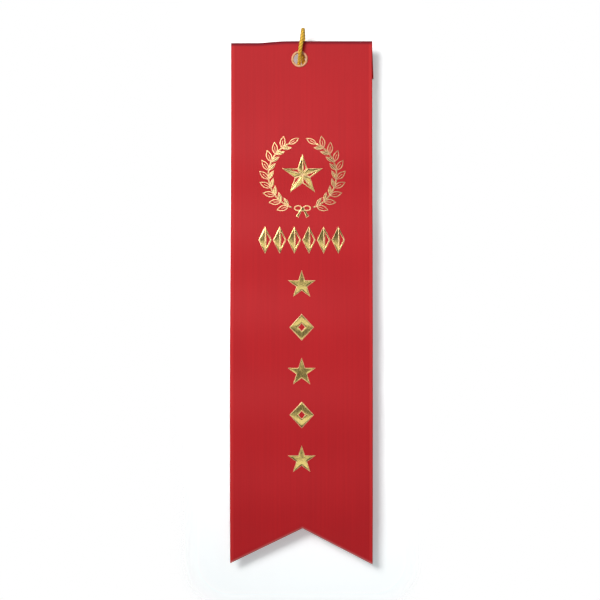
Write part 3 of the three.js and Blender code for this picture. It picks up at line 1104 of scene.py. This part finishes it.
@dataclass
class TwistedString:
    """The string: a three-ply cord through the eyelet, its knot, and the knot's two frayed ends."""

    diameter: float = 1.4
    plies: int = 3
    twist_pitch: float = 3.4
    sides: int = 30
    ring_step: float = 0.2
    groove: float = 0.76  # the radius in the grooves between the plies, as a share of the cord's
    swell: float = 0.28  # how much more of it a ply's crown stands out
    swell_fullness: float = 0.8
    end_ply: float = 0.5  # the painted light of a cut end, between a groove's painted shade at 0 and a crown's painted light at 1
    end_taper: float = 0.12
    knot_points: int = 141
    knot_weave: float = 1.15
    fibres: int = 46
    fibre_points: int = 7
    fibre_sides: int = 5
    fibre_radius: float = 0.05
    fibre_taper: float = 0.75
    fibre_lengths: tuple[float, float] = (1.4, 2.8)
    fibre_leans: tuple[float, float] = (0.1, 0.75)
    fibre_depth: float = 0.4  # how far inside the cord's end they start
    fibre_room: float = 0.42  # how far off its centre line they may start, as a share of its diameter
    fibre_ply: float = 0.9
    behind: float = 2.9  # where it hangs behind the hem
    lift_height: float = -5.15
    lift_room: float = 1.9

    def tube(self, name: str, line: np.ndarray, taper: float = 0.0,
             closed: bool = False) -> bpy.types.Object:
        """A cord of twisted plies along a line.

        The section is a circle whose radius swells once for each ply, as the absolute cosine of half
        the plies' turn, and it turns steadily along the length by the twist.

        Args:
            name: The piece's name.
            line: The ring centres, in millimetres.
            taper: How much thinner the far end is, as a share.
            closed: Whether the last ring meets the first.

        Returns:
            The piece.
        """
        first, second = carried_frames(line)
        along = np.concatenate([[0.0], np.cumsum(np.linalg.norm(np.diff(line, axis=0), axis=1))])
        turn = np.linspace(0, TAU, self.sides + 1)[None, :]
        spin = TAU * along[:, None] / self.twist_pitch
        if closed:  # whole turns of the plies, so the last ring matches the first
            spin *= round(along[-1] / self.twist_pitch) / (along[-1] / self.twist_pitch)
        crown = np.abs(np.cos(self.plies * (turn - spin) / 2))
        radius = self.diameter / 2 * (self.groove + self.swell * crown**self.swell_fullness)
        radius = radius * (1 - taper * (along / along[-1])[:, None] ** 3)
        ring = (
            line[:, None, :]
            + (radius * np.cos(turn))[..., None] * first[:, None, :]
            + (radius * np.sin(turn))[..., None] * second[:, None, :]
        )
        flat = np.stack([turn * self.diameter / 2 + 0 * along[:, None], along[:, None] + 0 * turn], axis=-1)
        # the crown share also paints light on the crowns and shade in the grooves
        points, ply = ring.reshape(-1, 3), crown.ravel()
        flat = flat.reshape(-1, 2)
        faces = grid_faces(len(line), self.sides + 1)
        if not closed:
            # a row of points at each end's centre closes it
            count = self.sides + 1
            ends = np.repeat(line[[0, -1]], count, axis=0)
            points = np.concatenate([points, ends])
            ply = np.concatenate([ply, np.full(2 * count, self.end_ply)])
            flat = np.concatenate([flat, flat[:count], flat[-count:]])
            total = len(line) * count
            near = np.stack([np.arange(total, total + count - 1), np.arange(total + 1, total + count),
                             np.arange(1, count), np.arange(count - 1)], axis=1)
            far = np.stack([np.arange(total - count, total - 1), np.arange(total - count + 1, total),
                            np.arange(total + count + 1, total + 2 * count),
                            np.arange(total + count, total + 2 * count - 1)], axis=1)
            faces = np.concatenate([faces, near, far])
        piece = mesh_piece(name, points, faces, flat, {"ply": ply})
        turned_out(piece)
        return piece

    def evenly(self, route: np.ndarray) -> np.ndarray:
        """A route's ring centres, in millimetres, a ring's step apart."""
        return spline(route / MM, 1 + round(length_of(route / MM) / self.ring_step))

    def knot_line(self, centre: np.ndarray, reach: float) -> np.ndarray:
        """The overhand knot drawn tight, as a closed trefoil.

        Seen from the front, the line is a circle run once plus one twice as large run twice. It weaves
        front to back three times, as a sine.

        Args:
            centre: The knot's middle.
            reach: From there to its outside.

        Returns:
            The ring centres.
        """
        size = (reach - self.diameter / 2) / 3
        turn = np.linspace(0, TAU, self.knot_points)
        shape = np.stack([
            np.sin(turn) + 2 * np.sin(2 * turn),
            -self.knot_weave * np.sin(3 * turn),
            np.cos(turn) - 2 * np.cos(2 * turn),
        ], axis=1)
        return centre + size * shape

    def fray(self, name: str, tip: np.ndarray, before: np.ndarray, seed: int) -> bpy.types.Object:
        """The loose fibres at a cut end: each a thin tapering tube that bends away from the cord.

        A fibre's line is the cord's own direction times the length, plus a sideways direction times the
        length squared.

        Args:
            name: The piece's name.
            tip: The cord's end.
            before: A point on the cord just before it.
            seed: For the fibres' random directions.

        Returns:
            The piece.
        """
        draw = np.random.default_rng(seed)
        count, rings, sides = self.fibres, self.fibre_points, self.fibre_sides
        direction = (tip - before) / np.linalg.norm(tip - before)
        angle, spread = draw.uniform(0, TAU, count), np.sqrt(draw.uniform(0, 1, count))
        reach, flare = draw.uniform(*self.fibre_lengths, count), draw.uniform(*self.fibre_leans, count)
        out = np.stack([np.cos(angle), np.sin(angle), np.zeros(count)], axis=1)
        start = out * (self.fibre_room * self.diameter * spread)[:, None]
        root = tip - self.fibre_depth * direction + start
        t = np.linspace(0, 1, rings)[None, :, None]
        line = (root[:, None, :] + direction * reach[:, None, None] * t
                + out[:, None, :] * (flare * reach)[:, None, None] * t**2)
        radius = self.fibre_radius * (1 - self.fibre_taper * t)
        turn = np.linspace(0, TAU, sides, endpoint=False)
        ring = line[:, :, None, :] + radius[..., None] * (
            np.cos(turn)[:, None] * np.array([1.0, 0, 0]) + np.sin(turn)[:, None] * np.array([0, 1.0, 0]))
        number = np.arange(count * rings * sides).reshape(count, rings, sides)
        following = np.roll(number, -1, axis=2)
        quads = np.stack([number[:, :-1], following[:, :-1], following[:, 1:], number[:, 1:]], axis=-1)
        caps = np.concatenate([number[:, 0, ::-1], number[:, -1]])
        points = ring.reshape(-1, 3)
        piece = mesh_piece(name, points, quads.reshape(-1, 4), np.zeros((len(points), 2)),
                           {"ply": np.full(len(points), self.fibre_ply)}, weld=False)
        with opened(piece.data) as built:
            built.verts.ensure_lookup_table()
            for cap in caps:
                built.faces.new([built.verts[i] for i in cap])
            bmesh.ops.recalc_face_normals(built, faces=built.faces)
        piece.data.shade_smooth()
        return piece

    def build(self, finish: TwistedYarn) -> None:
        """Makes the string.

        Args:
            finish: The yarn.
        """
        material = finish.build()
        knot_low, knot_high = box_mm("string_knot")
        centre, reach = (knot_low + knot_high) / 2, (knot_high[2] - knot_low[2]) / 2
        knot = self.tube("string_knot_tied", self.knot_line(centre, reach), closed=True)
        finish_piece(knot, material, Slot.STRING, "string_knot")
        ends = []
        for name, route, node, seed in (
            ("string_cut_short", SHORT_END, "string_end_short", 3),
            ("string_cut_long", LONG_END, "string_end_long", 8),
        ):
            line = self.evenly(route)
            end = self.tube(name, line, taper=self.end_taper)
            finish_piece(end, material, Slot.STRING, node)
            fibres = self.fray(f"{name}_fray", line[-1], line[-6], seed)
            finish_piece(fibres, material, Slot.STRING)
            ends += [end, fibres]
        for piece in (knot, *ends):
            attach(piece, Body.LOOP.value)
        for name, route, nodes, pieces in (
            ("string_over_fold", OVER_FOLD, ("string_bridge", "string_strand_right"), [knot, *ends]),
            ("string_behind", BEHIND, ("string_strand_left",), [knot]),
        ):
            line = self.evenly(route)
            cord = self.tube(name, line)
            finish_piece(cord, material, Slot.STRING, *nodes)
            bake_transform(cord)


# ------------------------------------------------------------------ foil


@dataclass
class Patch:
    """A strip of film between two outlines that have the same number of points.

    Where patches lie over each other, lift keeps the upper one clear of the lower.
    """

    inner: np.ndarray
    outer: np.ndarray
    lift: float = 0.0


@dataclass(frozen=True)
class Leaf:
    """A kind of leaf: the angle between it and the stem, its length and its greatest width.

    An open leaf is a line with a vein inside it, and the others are solid.
    """

    turn: float
    length: float
    width: float
    is_open: bool


def polar(radius: float, angle: float | np.ndarray) -> np.ndarray:
    """A point, or points, on a circle round the origin."""
    return np.stack([radius * np.cos(angle), radius * np.sin(angle)], axis=-1)


def ellipse(across: float, up: float, angle: np.ndarray) -> np.ndarray:
    """Points on an ellipse round the origin, from its two half widths."""
    return np.stack([across * np.cos(angle), up * np.sin(angle)], axis=1)


def lozenge(across: float, up: float) -> np.ndarray:
    """The corners of a lozenge round the origin, from the lowest one anticlockwise."""
    return np.array([[0, -up], [across, 0], [0, up], [-across, 0]])


def nodes_named(start: str) -> list[str]:
    """The frame's nodes whose names start so, in order."""
    return sorted(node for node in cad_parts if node.startswith(start))


def along_outline(corners: np.ndarray, per_side: int) -> np.ndarray:
    """Points along straight sides, with the first one repeated at the end.

    Args:
        corners: The corners in order.
        per_side: Points on a side.

    Returns:
        The points.
    """
    ring = np.concatenate([corners, corners[:1]])
    share = np.linspace(0, 1, per_side, endpoint=False)[None, :, None]
    sides = ring[:-1, None] * (1 - share) + ring[1:, None] * share
    return np.concatenate([sides.reshape(-1, 2), ring[-1:]])


def inset_triangle(corners: np.ndarray, line: float) -> np.ndarray:
    """A triangle drawn in by a line's width on every side.

    It shrinks about the centre of its inscribed circle, by the share of that circle's radius that the
    line takes.

    Args:
        corners: The three corners.
        line: The line's width.

    Returns:
        The inner corners.
    """
    sides = np.linalg.norm(np.roll(corners, -1, axis=0) - np.roll(corners, 1, axis=0), axis=1)
    centre = (corners * sides[:, None]).sum(axis=0) / sides.sum()
    (ax, ay), (bx, by), (cx, cy) = corners
    radius = abs((bx - ax) * (cy - ay) - (cx - ax) * (by - ay)) / sides.sum()
    return centre + (1 - line / radius) * (corners - centre)


def star_corners(radius: float, waist: float = 0.382) -> np.ndarray:
    """A five-pointed star's tips and valleys by turns, from the top."""
    turn = TAU / 4 + np.arange(10) * TAU / 10
    return polar(1.0, turn) * np.where(np.arange(10) % 2, radius * waist, radius)[:, None]


def filled(corners: np.ndarray, per_side: int = 6) -> Patch:
    """A patch from an outline's middle out to it."""
    outline = along_outline(corners, per_side)
    return Patch(np.repeat(corners.mean(axis=0)[None], len(outline), axis=0), outline)


def framed(corners: np.ndarray, line: float, per_side: int = 6) -> Patch:
    """A line of even width just inside a triangle."""
    return Patch(along_outline(inset_triangle(corners, line), per_side), along_outline(corners, per_side))


@dataclass
class GoldFoil:
    """All the foil: the emblem, the band under it and the column below, each patch lying on the cloth."""

    cloth: SatinRibbon
    material: bpy.types.Material
    film: float = 0.035
    crown: float = 0.025  # the die leaves the film's middle proud of its pressed edge
    edge_share: float = 0.3
    rim_width: float = 0.26
    rows: int = 11
    wreath_radius: float = 12.2
    branch_start: float = -0.4 * math.pi  # these four are angles round the wreath, in radians
    branch_end: float = 0.37 * math.pi
    branch_margin: float = 0.1
    tip_overlap: float = 0.02  # how far back along the stem the tip's leaf starts
    branch_points: int = 60
    branch_thin: float = 0.6  # how little of the branches' film has stuck on the emblem's right
    leaf_pairs: int = 9
    outer_leaf: Leaf = Leaf(turn=-0.72, length=4.6, width=2.1, is_open=True)
    inner_leaf: Leaf = Leaf(turn=0.62, length=3.7, width=1.35, is_open=False)
    tip_leaf: Leaf = Leaf(turn=-0.1, length=4.4, width=1.9, is_open=True)
    leaf_points: int = 15
    leaf_skew: float = 0.9  # under 1, a leaf is widest nearer its stalk
    leaf_tip: float = 2.4  # how many lines' widths an open leaf is shorter inside than outside
    leaf_lift: float = 0.01
    vein_reach: float = 0.62  # the share of the leaf's length that the vein runs to
    vein_start: float = 0.1
    vein_points: int = 8
    vein_lift: float = 0.02
    stem_width: float = 0.5
    leaf_line: float = 0.34
    star_line: float = 0.42
    loop_middle: tuple[float, float] = (1.6, 0.35)
    loop_inside: tuple[float, float] = (1.05, 0.65)
    loop_outside: tuple[float, float] = (1.45, 1.05)
    knot_radius: float = 0.75
    knot_lift: float = 0.03
    round_points: int = 33
    band_line: float = 0.5
    band_points: int = 10
    piercing: float = 0.28
    lozenge_points: int = 12
    star_points: int = 6
    emblem: np.ndarray = field(init=False)

    def __post_init__(self) -> None:
        """Finds the emblem's centre from the frame: midway across its two branches, at the star's hub."""
        left, _ = box_mm("foil_laurel_left")
        _, right = box_mm("foil_laurel_right")
        star_low, star_top = box_mm("foil_star")
        self.star_radius = (star_top[2] - star_low[2]) / (1 + math.cos(TAU / 10))
        self.emblem = np.array([(left[0] + right[0]) / 2, star_top[2] - self.star_radius])

    def lay(self, name: str, patches: list[Patch], centre: np.ndarray, node: str,
            thin: float = 0.0) -> bpy.types.Object:
        """Lays patches of film on the cloth as one piece.

        Each patch is a grid: rows step from its inner outline to its outer one, and columns follow the
        outlines. A row's height over the cloth falls off by a smooth step towards either outline that
        is an edge.

        Args:
            name: The piece's name.
            patches: Its patches, about their own centre.
            centre: Where that centre lies, across and up.
            node: The CAD node that it stands for.
            thin: How little of the film has stuck on its right, where the die pressed lightest.

        Returns:
            The piece.
        """
        points, faces, rims, thins, count = [], [], [], [], 0
        # rows crowd towards the outlines, so that the rim's painted highlight has rows of its own
        even = np.linspace(0, 1, self.rows)
        share = (0.5 - 0.5 * np.cos(np.pi * even))[:, None, None]
        for patch in patches:
            flat = patch.inner[None] * (1 - share) + patch.outer[None] * share + centre
            pole = np.allclose(patch.inner, patch.inner[0])
            from_edge = 1 - share[..., 0] if pole else 2 * np.minimum(share[..., 0], 1 - share[..., 0])
            width = np.linalg.norm(patch.outer - patch.inner, axis=-1)[None, :] * (1.0 if pole else 0.5)
            rims.append((1 - smooth(from_edge * width / self.rim_width)).ravel())
            proud = self.film + patch.lift + self.crown * smooth(from_edge / self.edge_share)
            x, z = flat[..., 0], flat[..., 1]
            y = self.cloth.face(x, z) - proud
            points.append(np.stack([x, y + 0 * x, z], axis=-1).reshape(-1, 3))
            thins.append((thin * smooth((x - centre[0]) / self.wreath_radius)).ravel())
            faces.append(grid_faces(self.rows, len(patch.outer)) + count)
            count += self.rows * len(patch.outer)
        piece = mesh_piece(name, np.concatenate(points), np.concatenate(faces),
                           values={"rim": np.concatenate(rims), "thin": np.concatenate(thins)})
        face_forward(piece)
        give_thickness(piece, self.film, -1)
        finish_piece(piece, self.material, Slot.FOIL, node)
        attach(piece, Body.TAIL.value)
        return piece

    def star(self) -> None:
        """The emblem's star: each arm half film and half bare cloth inside a line of film."""
        ring = star_corners(self.star_radius)
        patches = []
        for k in range(5):
            tip, valley, before = ring[2 * k], ring[2 * k + 1], ring[2 * k - 1]
            patches.append(filled(np.array([[0.0, 0.0], tip, valley])))
            patches.append(framed(np.array([[0.0, 0.0], before, tip]), self.star_line))
        self.lay("film_star", patches, self.emblem, "foil_star")

    def _leaf_edge(self, leaf: Leaf, inset: float) -> np.ndarray:
        """A leaf's outline along +X, out on one side and back on the other.

        Its half-width is a sine of the share of the length, skewed towards the stalk, so both ends
        come to a point.

        Args:
            leaf: The kind of leaf.
            inset: How far inside the leaf's own edge it runs.

        Returns:
            The points.
        """
        share = np.linspace(0, 1, self.leaf_points)
        x = inset + (leaf.length - self.leaf_tip * inset) * share
        half = (leaf.width / 2 - inset) * np.sin(np.pi * share**self.leaf_skew)
        return np.concatenate([np.stack([x, half], axis=1), np.stack([x, -half], axis=1)[::-1]])

    def leaf(self, leaf: Leaf, at: np.ndarray, onward: float) -> list[Patch]:
        """A leaf from its stalk to its tip.

        Args:
            leaf: The kind of leaf.
            at: The stalk.
            onward: The way that the stem runs there, as an angle.

        Returns:
            The leaf's patches.
        """
        c, s = math.cos(onward + leaf.turn), math.sin(onward + leaf.turn)
        turned = np.array([[c, s], [-s, c]])
        edge = self._leaf_edge(leaf, 0.0)
        if not leaf.is_open:
            spine = edge * [1, 0]
            return [Patch(spine @ turned + at, edge @ turned + at, self.leaf_lift)]
        inside = self._leaf_edge(leaf, self.leaf_line)
        along = np.linspace(self.vein_start, self.vein_reach * leaf.length, self.vein_points)
        vein = np.stack([along, np.zeros(self.vein_points)], axis=1)
        side = np.array([0.0, self.leaf_line / 3])
        return [
            Patch(inside @ turned + at, edge @ turned + at, self.leaf_lift),
            Patch((vein - side) @ turned + at, (vein + side) @ turned + at, self.vein_lift),
        ]

    def laurel(self, side: Side) -> None:
        """One branch of a plain laurel wreath, open leaves outside its stem and solid ones inside.

        Args:
            side: The side of the emblem that it is on.
        """
        mirror = np.array([side.value, 1.0])
        turn = np.linspace(self.branch_start, self.branch_end, self.branch_points)
        half = self.stem_width / 2
        patches = [Patch(polar(self.wreath_radius - half, turn), polar(self.wreath_radius + half, turn))]
        room = self.branch_end - self.branch_start - self.branch_margin
        for i in range(self.leaf_pairs):
            angle = self.branch_start + self.branch_margin + room * i / self.leaf_pairs
            onward = angle + math.pi / 2
            at = polar(self.wreath_radius, angle)
            patches += self.leaf(self.outer_leaf, at, onward)
            patches += self.leaf(self.inner_leaf, at, onward)
        tip = polar(self.wreath_radius, self.branch_end - self.tip_overlap)
        patches += self.leaf(self.tip_leaf, tip, self.branch_end + math.pi / 2)
        for patch in patches:
            patch.inner, patch.outer = patch.inner * mirror, patch.outer * mirror
        name = f"laurel_{side.name.lower()}"
        self.lay(f"film_{name}", patches, self.emblem, f"foil_{name}", self.branch_thin)

    def bow(self) -> None:
        """The tie between the branches: two loops, two cut ends and a knot over them."""
        turn = np.linspace(0, TAU, self.round_points)
        end = np.array([[0.1, 0.0], [0.75, -0.2], [2.35, -2.5], [1.9, -2.75], [1.45, -3.1]])
        patches = []
        for side in (-1, 1):
            middle = np.array(self.loop_middle) * [side, 1]
            patches.append(Patch(middle + ellipse(*self.loop_inside, turn),
                                 middle + ellipse(*self.loop_outside, turn)))
            patches.append(filled(end * [side, 1]))
        patches.append(Patch(np.zeros((self.round_points, 2)), polar(self.knot_radius, turn), self.knot_lift))
        self.lay("film_bow", patches, self.emblem - [0, self.wreath_radius], "foil_bow")

    def band(self) -> None:
        """The band: faceted lozenges, the left half film and the right half bare inside a line of film."""
        for node in nodes_named("foil_band_"):
            low, high = box_mm(node)
            bottom, right, top, left = lozenge((high[0] - low[0]) / 2, (high[2] - low[2]) / 2)
            patches = [filled(np.array([bottom, top, left]), self.band_points),
                       framed(np.array([bottom, right, top]), self.band_line, self.band_points)]
            centre = (low + high)[[0, 2]] / 2
            self.lay(node.replace("foil", "film"), patches, centre, node)

    def column(self) -> None:
        """The column: solid stars and pierced lozenges by turns."""
        for node in nodes_named("foil_column_"):
            low, high = box_mm(node)
            height, centre = high[2] - low[2], (low + high)[[0, 2]] / 2
            if node.endswith("star"):
                radius = height / (1 + math.cos(TAU / 10))
                ring = along_outline(star_corners(radius), self.star_points)
                patches = [Patch(np.zeros_like(ring), ring)]
                centre = np.array([centre[0], high[2] - radius])
            else:
                ring = along_outline(lozenge((high[0] - low[0]) / 2, height / 2), self.lozenge_points)
                patches = [Patch(ring * self.piercing, ring)]
            self.lay(node.replace("foil", "film"), patches, centre, node)

    def build(self) -> None:
        """Makes every piece of foil."""
        self.star()
        for side in Side:
            self.laurel(side)
        self.bow()
        self.band()
        self.column()


# ------------------------------------------------------------------ studio


@dataclass(frozen=True)
class SoftBox:
    """A large soft light, aimed at a point. Sizes are in metres and power in watts."""

    name: str
    place: tuple[float, float, float]
    aim: tuple[float, float, float]
    size: tuple[float, float]
    power: float
    spread: float = 180.0  # degrees; a honeycomb over the light narrows it

    def build(self) -> None:
        """Adds the light."""
        data = bpy.data.lights.new(self.name, "AREA")
        data.shape = "RECTANGLE"
        data.size, data.size_y = self.size
        data.energy = self.power
        data.spread = math.radians(self.spread)
        light = bpy.data.objects.new(self.name, data)
        light.location = self.place
        aim = np.array(self.aim) - np.array(self.place)
        light.rotation_euler = Vector(aim).to_track_quat("-Z", "Y").to_euler()
        bpy.context.collection.objects.link(light)


@dataclass
class Studio:
    """The camera, the pale backdrop and floor, and the lights."""

    view_width: float = 215.4
    view_centre: tuple[float, float] = (0.15, -86.4)
    lens: float = 100.0
    sensor: float = 36.0
    wall_behind: float = 8.2
    wall_glow: str = "#838f91"  # the paper is lit through from behind, a little blue
    wall_margin: float = 24.0
    wall_fade: tuple[float, float] = (9.0, 22.0)  # how far past the ribbon it starts to fade, and is gone
    floor_height: float = -240.0
    floor_half: float = 260.0
    floor_fade: tuple[float, float] = (80.0, 250.0)
    floor_glow: str = "#cdcdcd"  # it is lit through too, and takes no part in lighting the ribbon
    pale: str = "#fbfbfb"
    room_light: float = 0.22
    room_mirrored: float = 0.17

    def camera(self) -> None:
        """Adds a long lens that looks straight along +Y."""
        data = bpy.data.cameras.new("camera")
        data.lens, data.sensor_width = self.lens, self.sensor
        view = bpy.data.objects.new("camera", data)
        distance = self.view_width * self.lens / self.sensor
        view.location = (self.view_centre[0] * MM, -distance * MM, self.view_centre[1] * MM)
        view.rotation_euler = (math.pi / 2, 0, 0)
        bpy.context.collection.objects.link(view)
        bpy.context.scene.camera = view

    def paper(self, name: str, glow: str) -> bpy.types.Material:
        """Makes a matt pale surface that is lit through from behind.

        Args:
            name: The material's name.
            glow: The colour of the light that comes through.

        Returns:
            The material.
        """
        return new_surface(name, {
            "Base Color": linear(self.pale), "Roughness": 0.95, "Specular IOR Level": 0.1,
            "Emission Color": linear(glow), "Emission Strength": 1.0})[0]

    def faded(self, tree: bpy.types.NodeTree, away: bpy.types.Node,
              ends: tuple[float, float]) -> bpy.types.NodeSocket:
        """How far a surface has faded at a distance, by a smooth step between two distances.

        Args:
            tree: The node tree.
            away: The node that measures the distance.
            ends: Where the fading starts and ends, in millimetres.

        Returns:
            The share's socket, 0 to 1.
        """
        return add_node(tree, "ShaderNodeMapRange", {"interpolation_type": "SMOOTHSTEP"}, {
            "Value": away.outputs["Value"], "From Min": ends[0] * MM, "From Max": ends[1] * MM}).outputs[0]

    def sheet(self, name: str, corners: np.ndarray, material: bpy.types.Material,
              gone: bpy.types.NodeSocket) -> bpy.types.Object:
        """Makes a flat sheet that fades out into the white room and doesn't light the ribbon.

        Args:
            name: The piece's name.
            corners: Its four corners, in millimetres.
            material: Its material.
            gone: How far the surface has faded, 0 to 1.

        Returns:
            The piece.
        """
        tree = material.node_tree
        output = next(node for node in tree.nodes if node.type == "OUTPUT_MATERIAL")
        shader = output.inputs["Surface"].links[0].from_socket
        see_through = add_node(tree, "ShaderNodeBsdfTransparent")
        both = add_node(tree, "ShaderNodeMixShader", None, {0: gone, 1: shader, 2: see_through.outputs[0]})
        tree.links.new(both.outputs[0], output.inputs["Surface"])
        piece = mesh_piece(name, corners, np.array([[0, 1, 2, 3]]))
        piece.data.materials.append(material)
        piece.visible_diffuse = piece.visible_glossy = False
        return piece

    def floor(self) -> bpy.types.Object:
        """Makes a pale floor that fades into the room with its distance from the ribbon.

        Returns:
            The piece.
        """
        material = self.paper("matt_white_floor", self.floor_glow)
        tree = material.node_tree
        place = add_node(tree, "ShaderNodeTexCoord").outputs["Object"]
        spot = add_node(tree, "ShaderNodeVectorMath", {"operation": "SUBTRACT"}, {
            0: place, 1: (0.0, 0.0, self.floor_height * MM)})
        away = add_node(tree, "ShaderNodeVectorMath", {"operation": "LENGTH"}, {0: spot.outputs[0]})
        corners = self.floor_half * np.array([[-1, -1, 0], [1, -1, 0], [1, 1, 0], [-1, 1, 0]])
        return self.sheet("studio_floor", corners + [0, 0, self.floor_height], material,
                          self.faded(tree, away, self.floor_fade))

    def backdrop(self) -> bpy.types.Object:
        """Makes a sheet of paper just behind the ribbon, which takes its soft shadow.

        It has one side, so it doesn't hide the ribbon's back, and it fades out a short way beyond the
        ribbon's outline.

        Returns:
            The piece.
        """
        material = self.paper("matt_white_backdrop", self.wall_glow)
        tree = material.node_tree
        low, high = (np.array(corner) for corner in CAD_BOX)
        middle, half = (low + high) / 2, (high - low) / 2
        place = add_node(tree, "ShaderNodeTexCoord").outputs["Object"]
        centred = add_node(tree, "ShaderNodeVectorMath", {"operation": "SUBTRACT"}, {
            0: place, 1: tuple(middle)})
        size = add_node(tree, "ShaderNodeVectorMath", {"operation": "ABSOLUTE"}, {0: centred.outputs[0]})
        # the depth is left out of the distance by a half depth that nothing reaches
        beyond = add_node(tree, "ShaderNodeVectorMath", {"operation": "SUBTRACT"}, {
            0: size.outputs[0], 1: (half[0], 1.0, half[2])})
        outside = add_node(tree, "ShaderNodeVectorMath", {"operation": "MAXIMUM"}, {
            0: beyond.outputs[0], 1: (0.0, 0.0, 0.0)})
        away = add_node(tree, "ShaderNodeVectorMath", {"operation": "LENGTH"}, {0: outside.outputs[0]})
        behind = add_node(tree, "ShaderNodeNewGeometry").outputs["Backfacing"]
        gone = maths(tree, "MAXIMUM", self.faded(tree, away, self.wall_fade), behind)
        across, up = half[0] / MM + self.wall_margin, half[2] / MM + self.wall_margin
        outline = np.array([[-across, 0, -up], [across, 0, -up], [across, 0, up], [-across, 0, up]])
        piece = self.sheet("studio_backdrop", outline + [middle[0] / MM, self.wall_behind, middle[2] / MM],
                           material, gone)
        piece.visible_transmission = piece.visible_shadow = False
        return piece

    def lights(self) -> None:
        """Adds a key from the upper left, banks in front for the foil to mirror, and a fill behind."""
        aim = (0.0, 0.0, -0.075)
        for box in (
            SoftBox("key", (-0.215, -0.56, 0.135), (0.02, 0.0, -0.058), (0.27, 0.27), 0.295, spread=40),
            SoftBox("front_bank_upper", (0.0, -1.0, -0.055), aim, (0.8, 0.055), 0.21),
            SoftBox("front_bank_lower", (0.0, -1.0, -0.235), aim, (0.8, 0.07), 0.26),
            SoftBox("back_fill", (0.45, 0.75, 0.35), aim, (0.5, 0.5), 4.2),
        ):
            box.build()

    def surroundings(self) -> None:
        """Fills the room with a dim even light, and shows pale behind everything."""
        world = bpy.data.worlds.new("studio")
        world.use_nodes = True
        tree = world.node_tree
        tree.nodes.clear()
        path = add_node(tree, "ShaderNodeLightPath").outputs
        # soft light for matt surfaces, a darker room for metal to mirror, and white behind everything
        on_matt = maths(tree, "MULTIPLY", path["Is Diffuse Ray"], self.room_light - self.room_mirrored)
        strength = maths(tree, "ADD", on_matt, self.room_mirrored)
        seen = maths(tree, "MULTIPLY", path["Is Camera Ray"], 1 - self.room_mirrored)
        room = add_node(tree, "ShaderNodeBackground", None, {
            "Color": linear("#ffffff"), "Strength": maths(tree, "ADD", strength, seen)})
        add_node(tree, "ShaderNodeOutputWorld", None, {"Surface": room.outputs[0]})
        bpy.context.scene.world = world
        bpy.context.scene.view_settings.view_transform = "Standard"

    def build(self) -> None:
        """Makes the studio."""
        self.camera()
        self.floor()
        self.backdrop()
        self.lights()
        self.surroundings()


def main() -> None:
    """Builds the studio and the ribbon."""
    logging.basicConfig(level=logging.INFO, format="%(name)s: %(message)s")
    Studio().build()
    TwistedString().build(TwistedYarn())
    EventCard.from_frame().build(UncoatedCard())
    ribbon = SatinRibbon.from_frame()
    ribbon.build(WovenSatin())
    RolledEyelet.from_frame().build(RolledBrass())
    GoldFoil(ribbon, StampedFoil().build()).build()


if __name__ == "__main__":
    main()
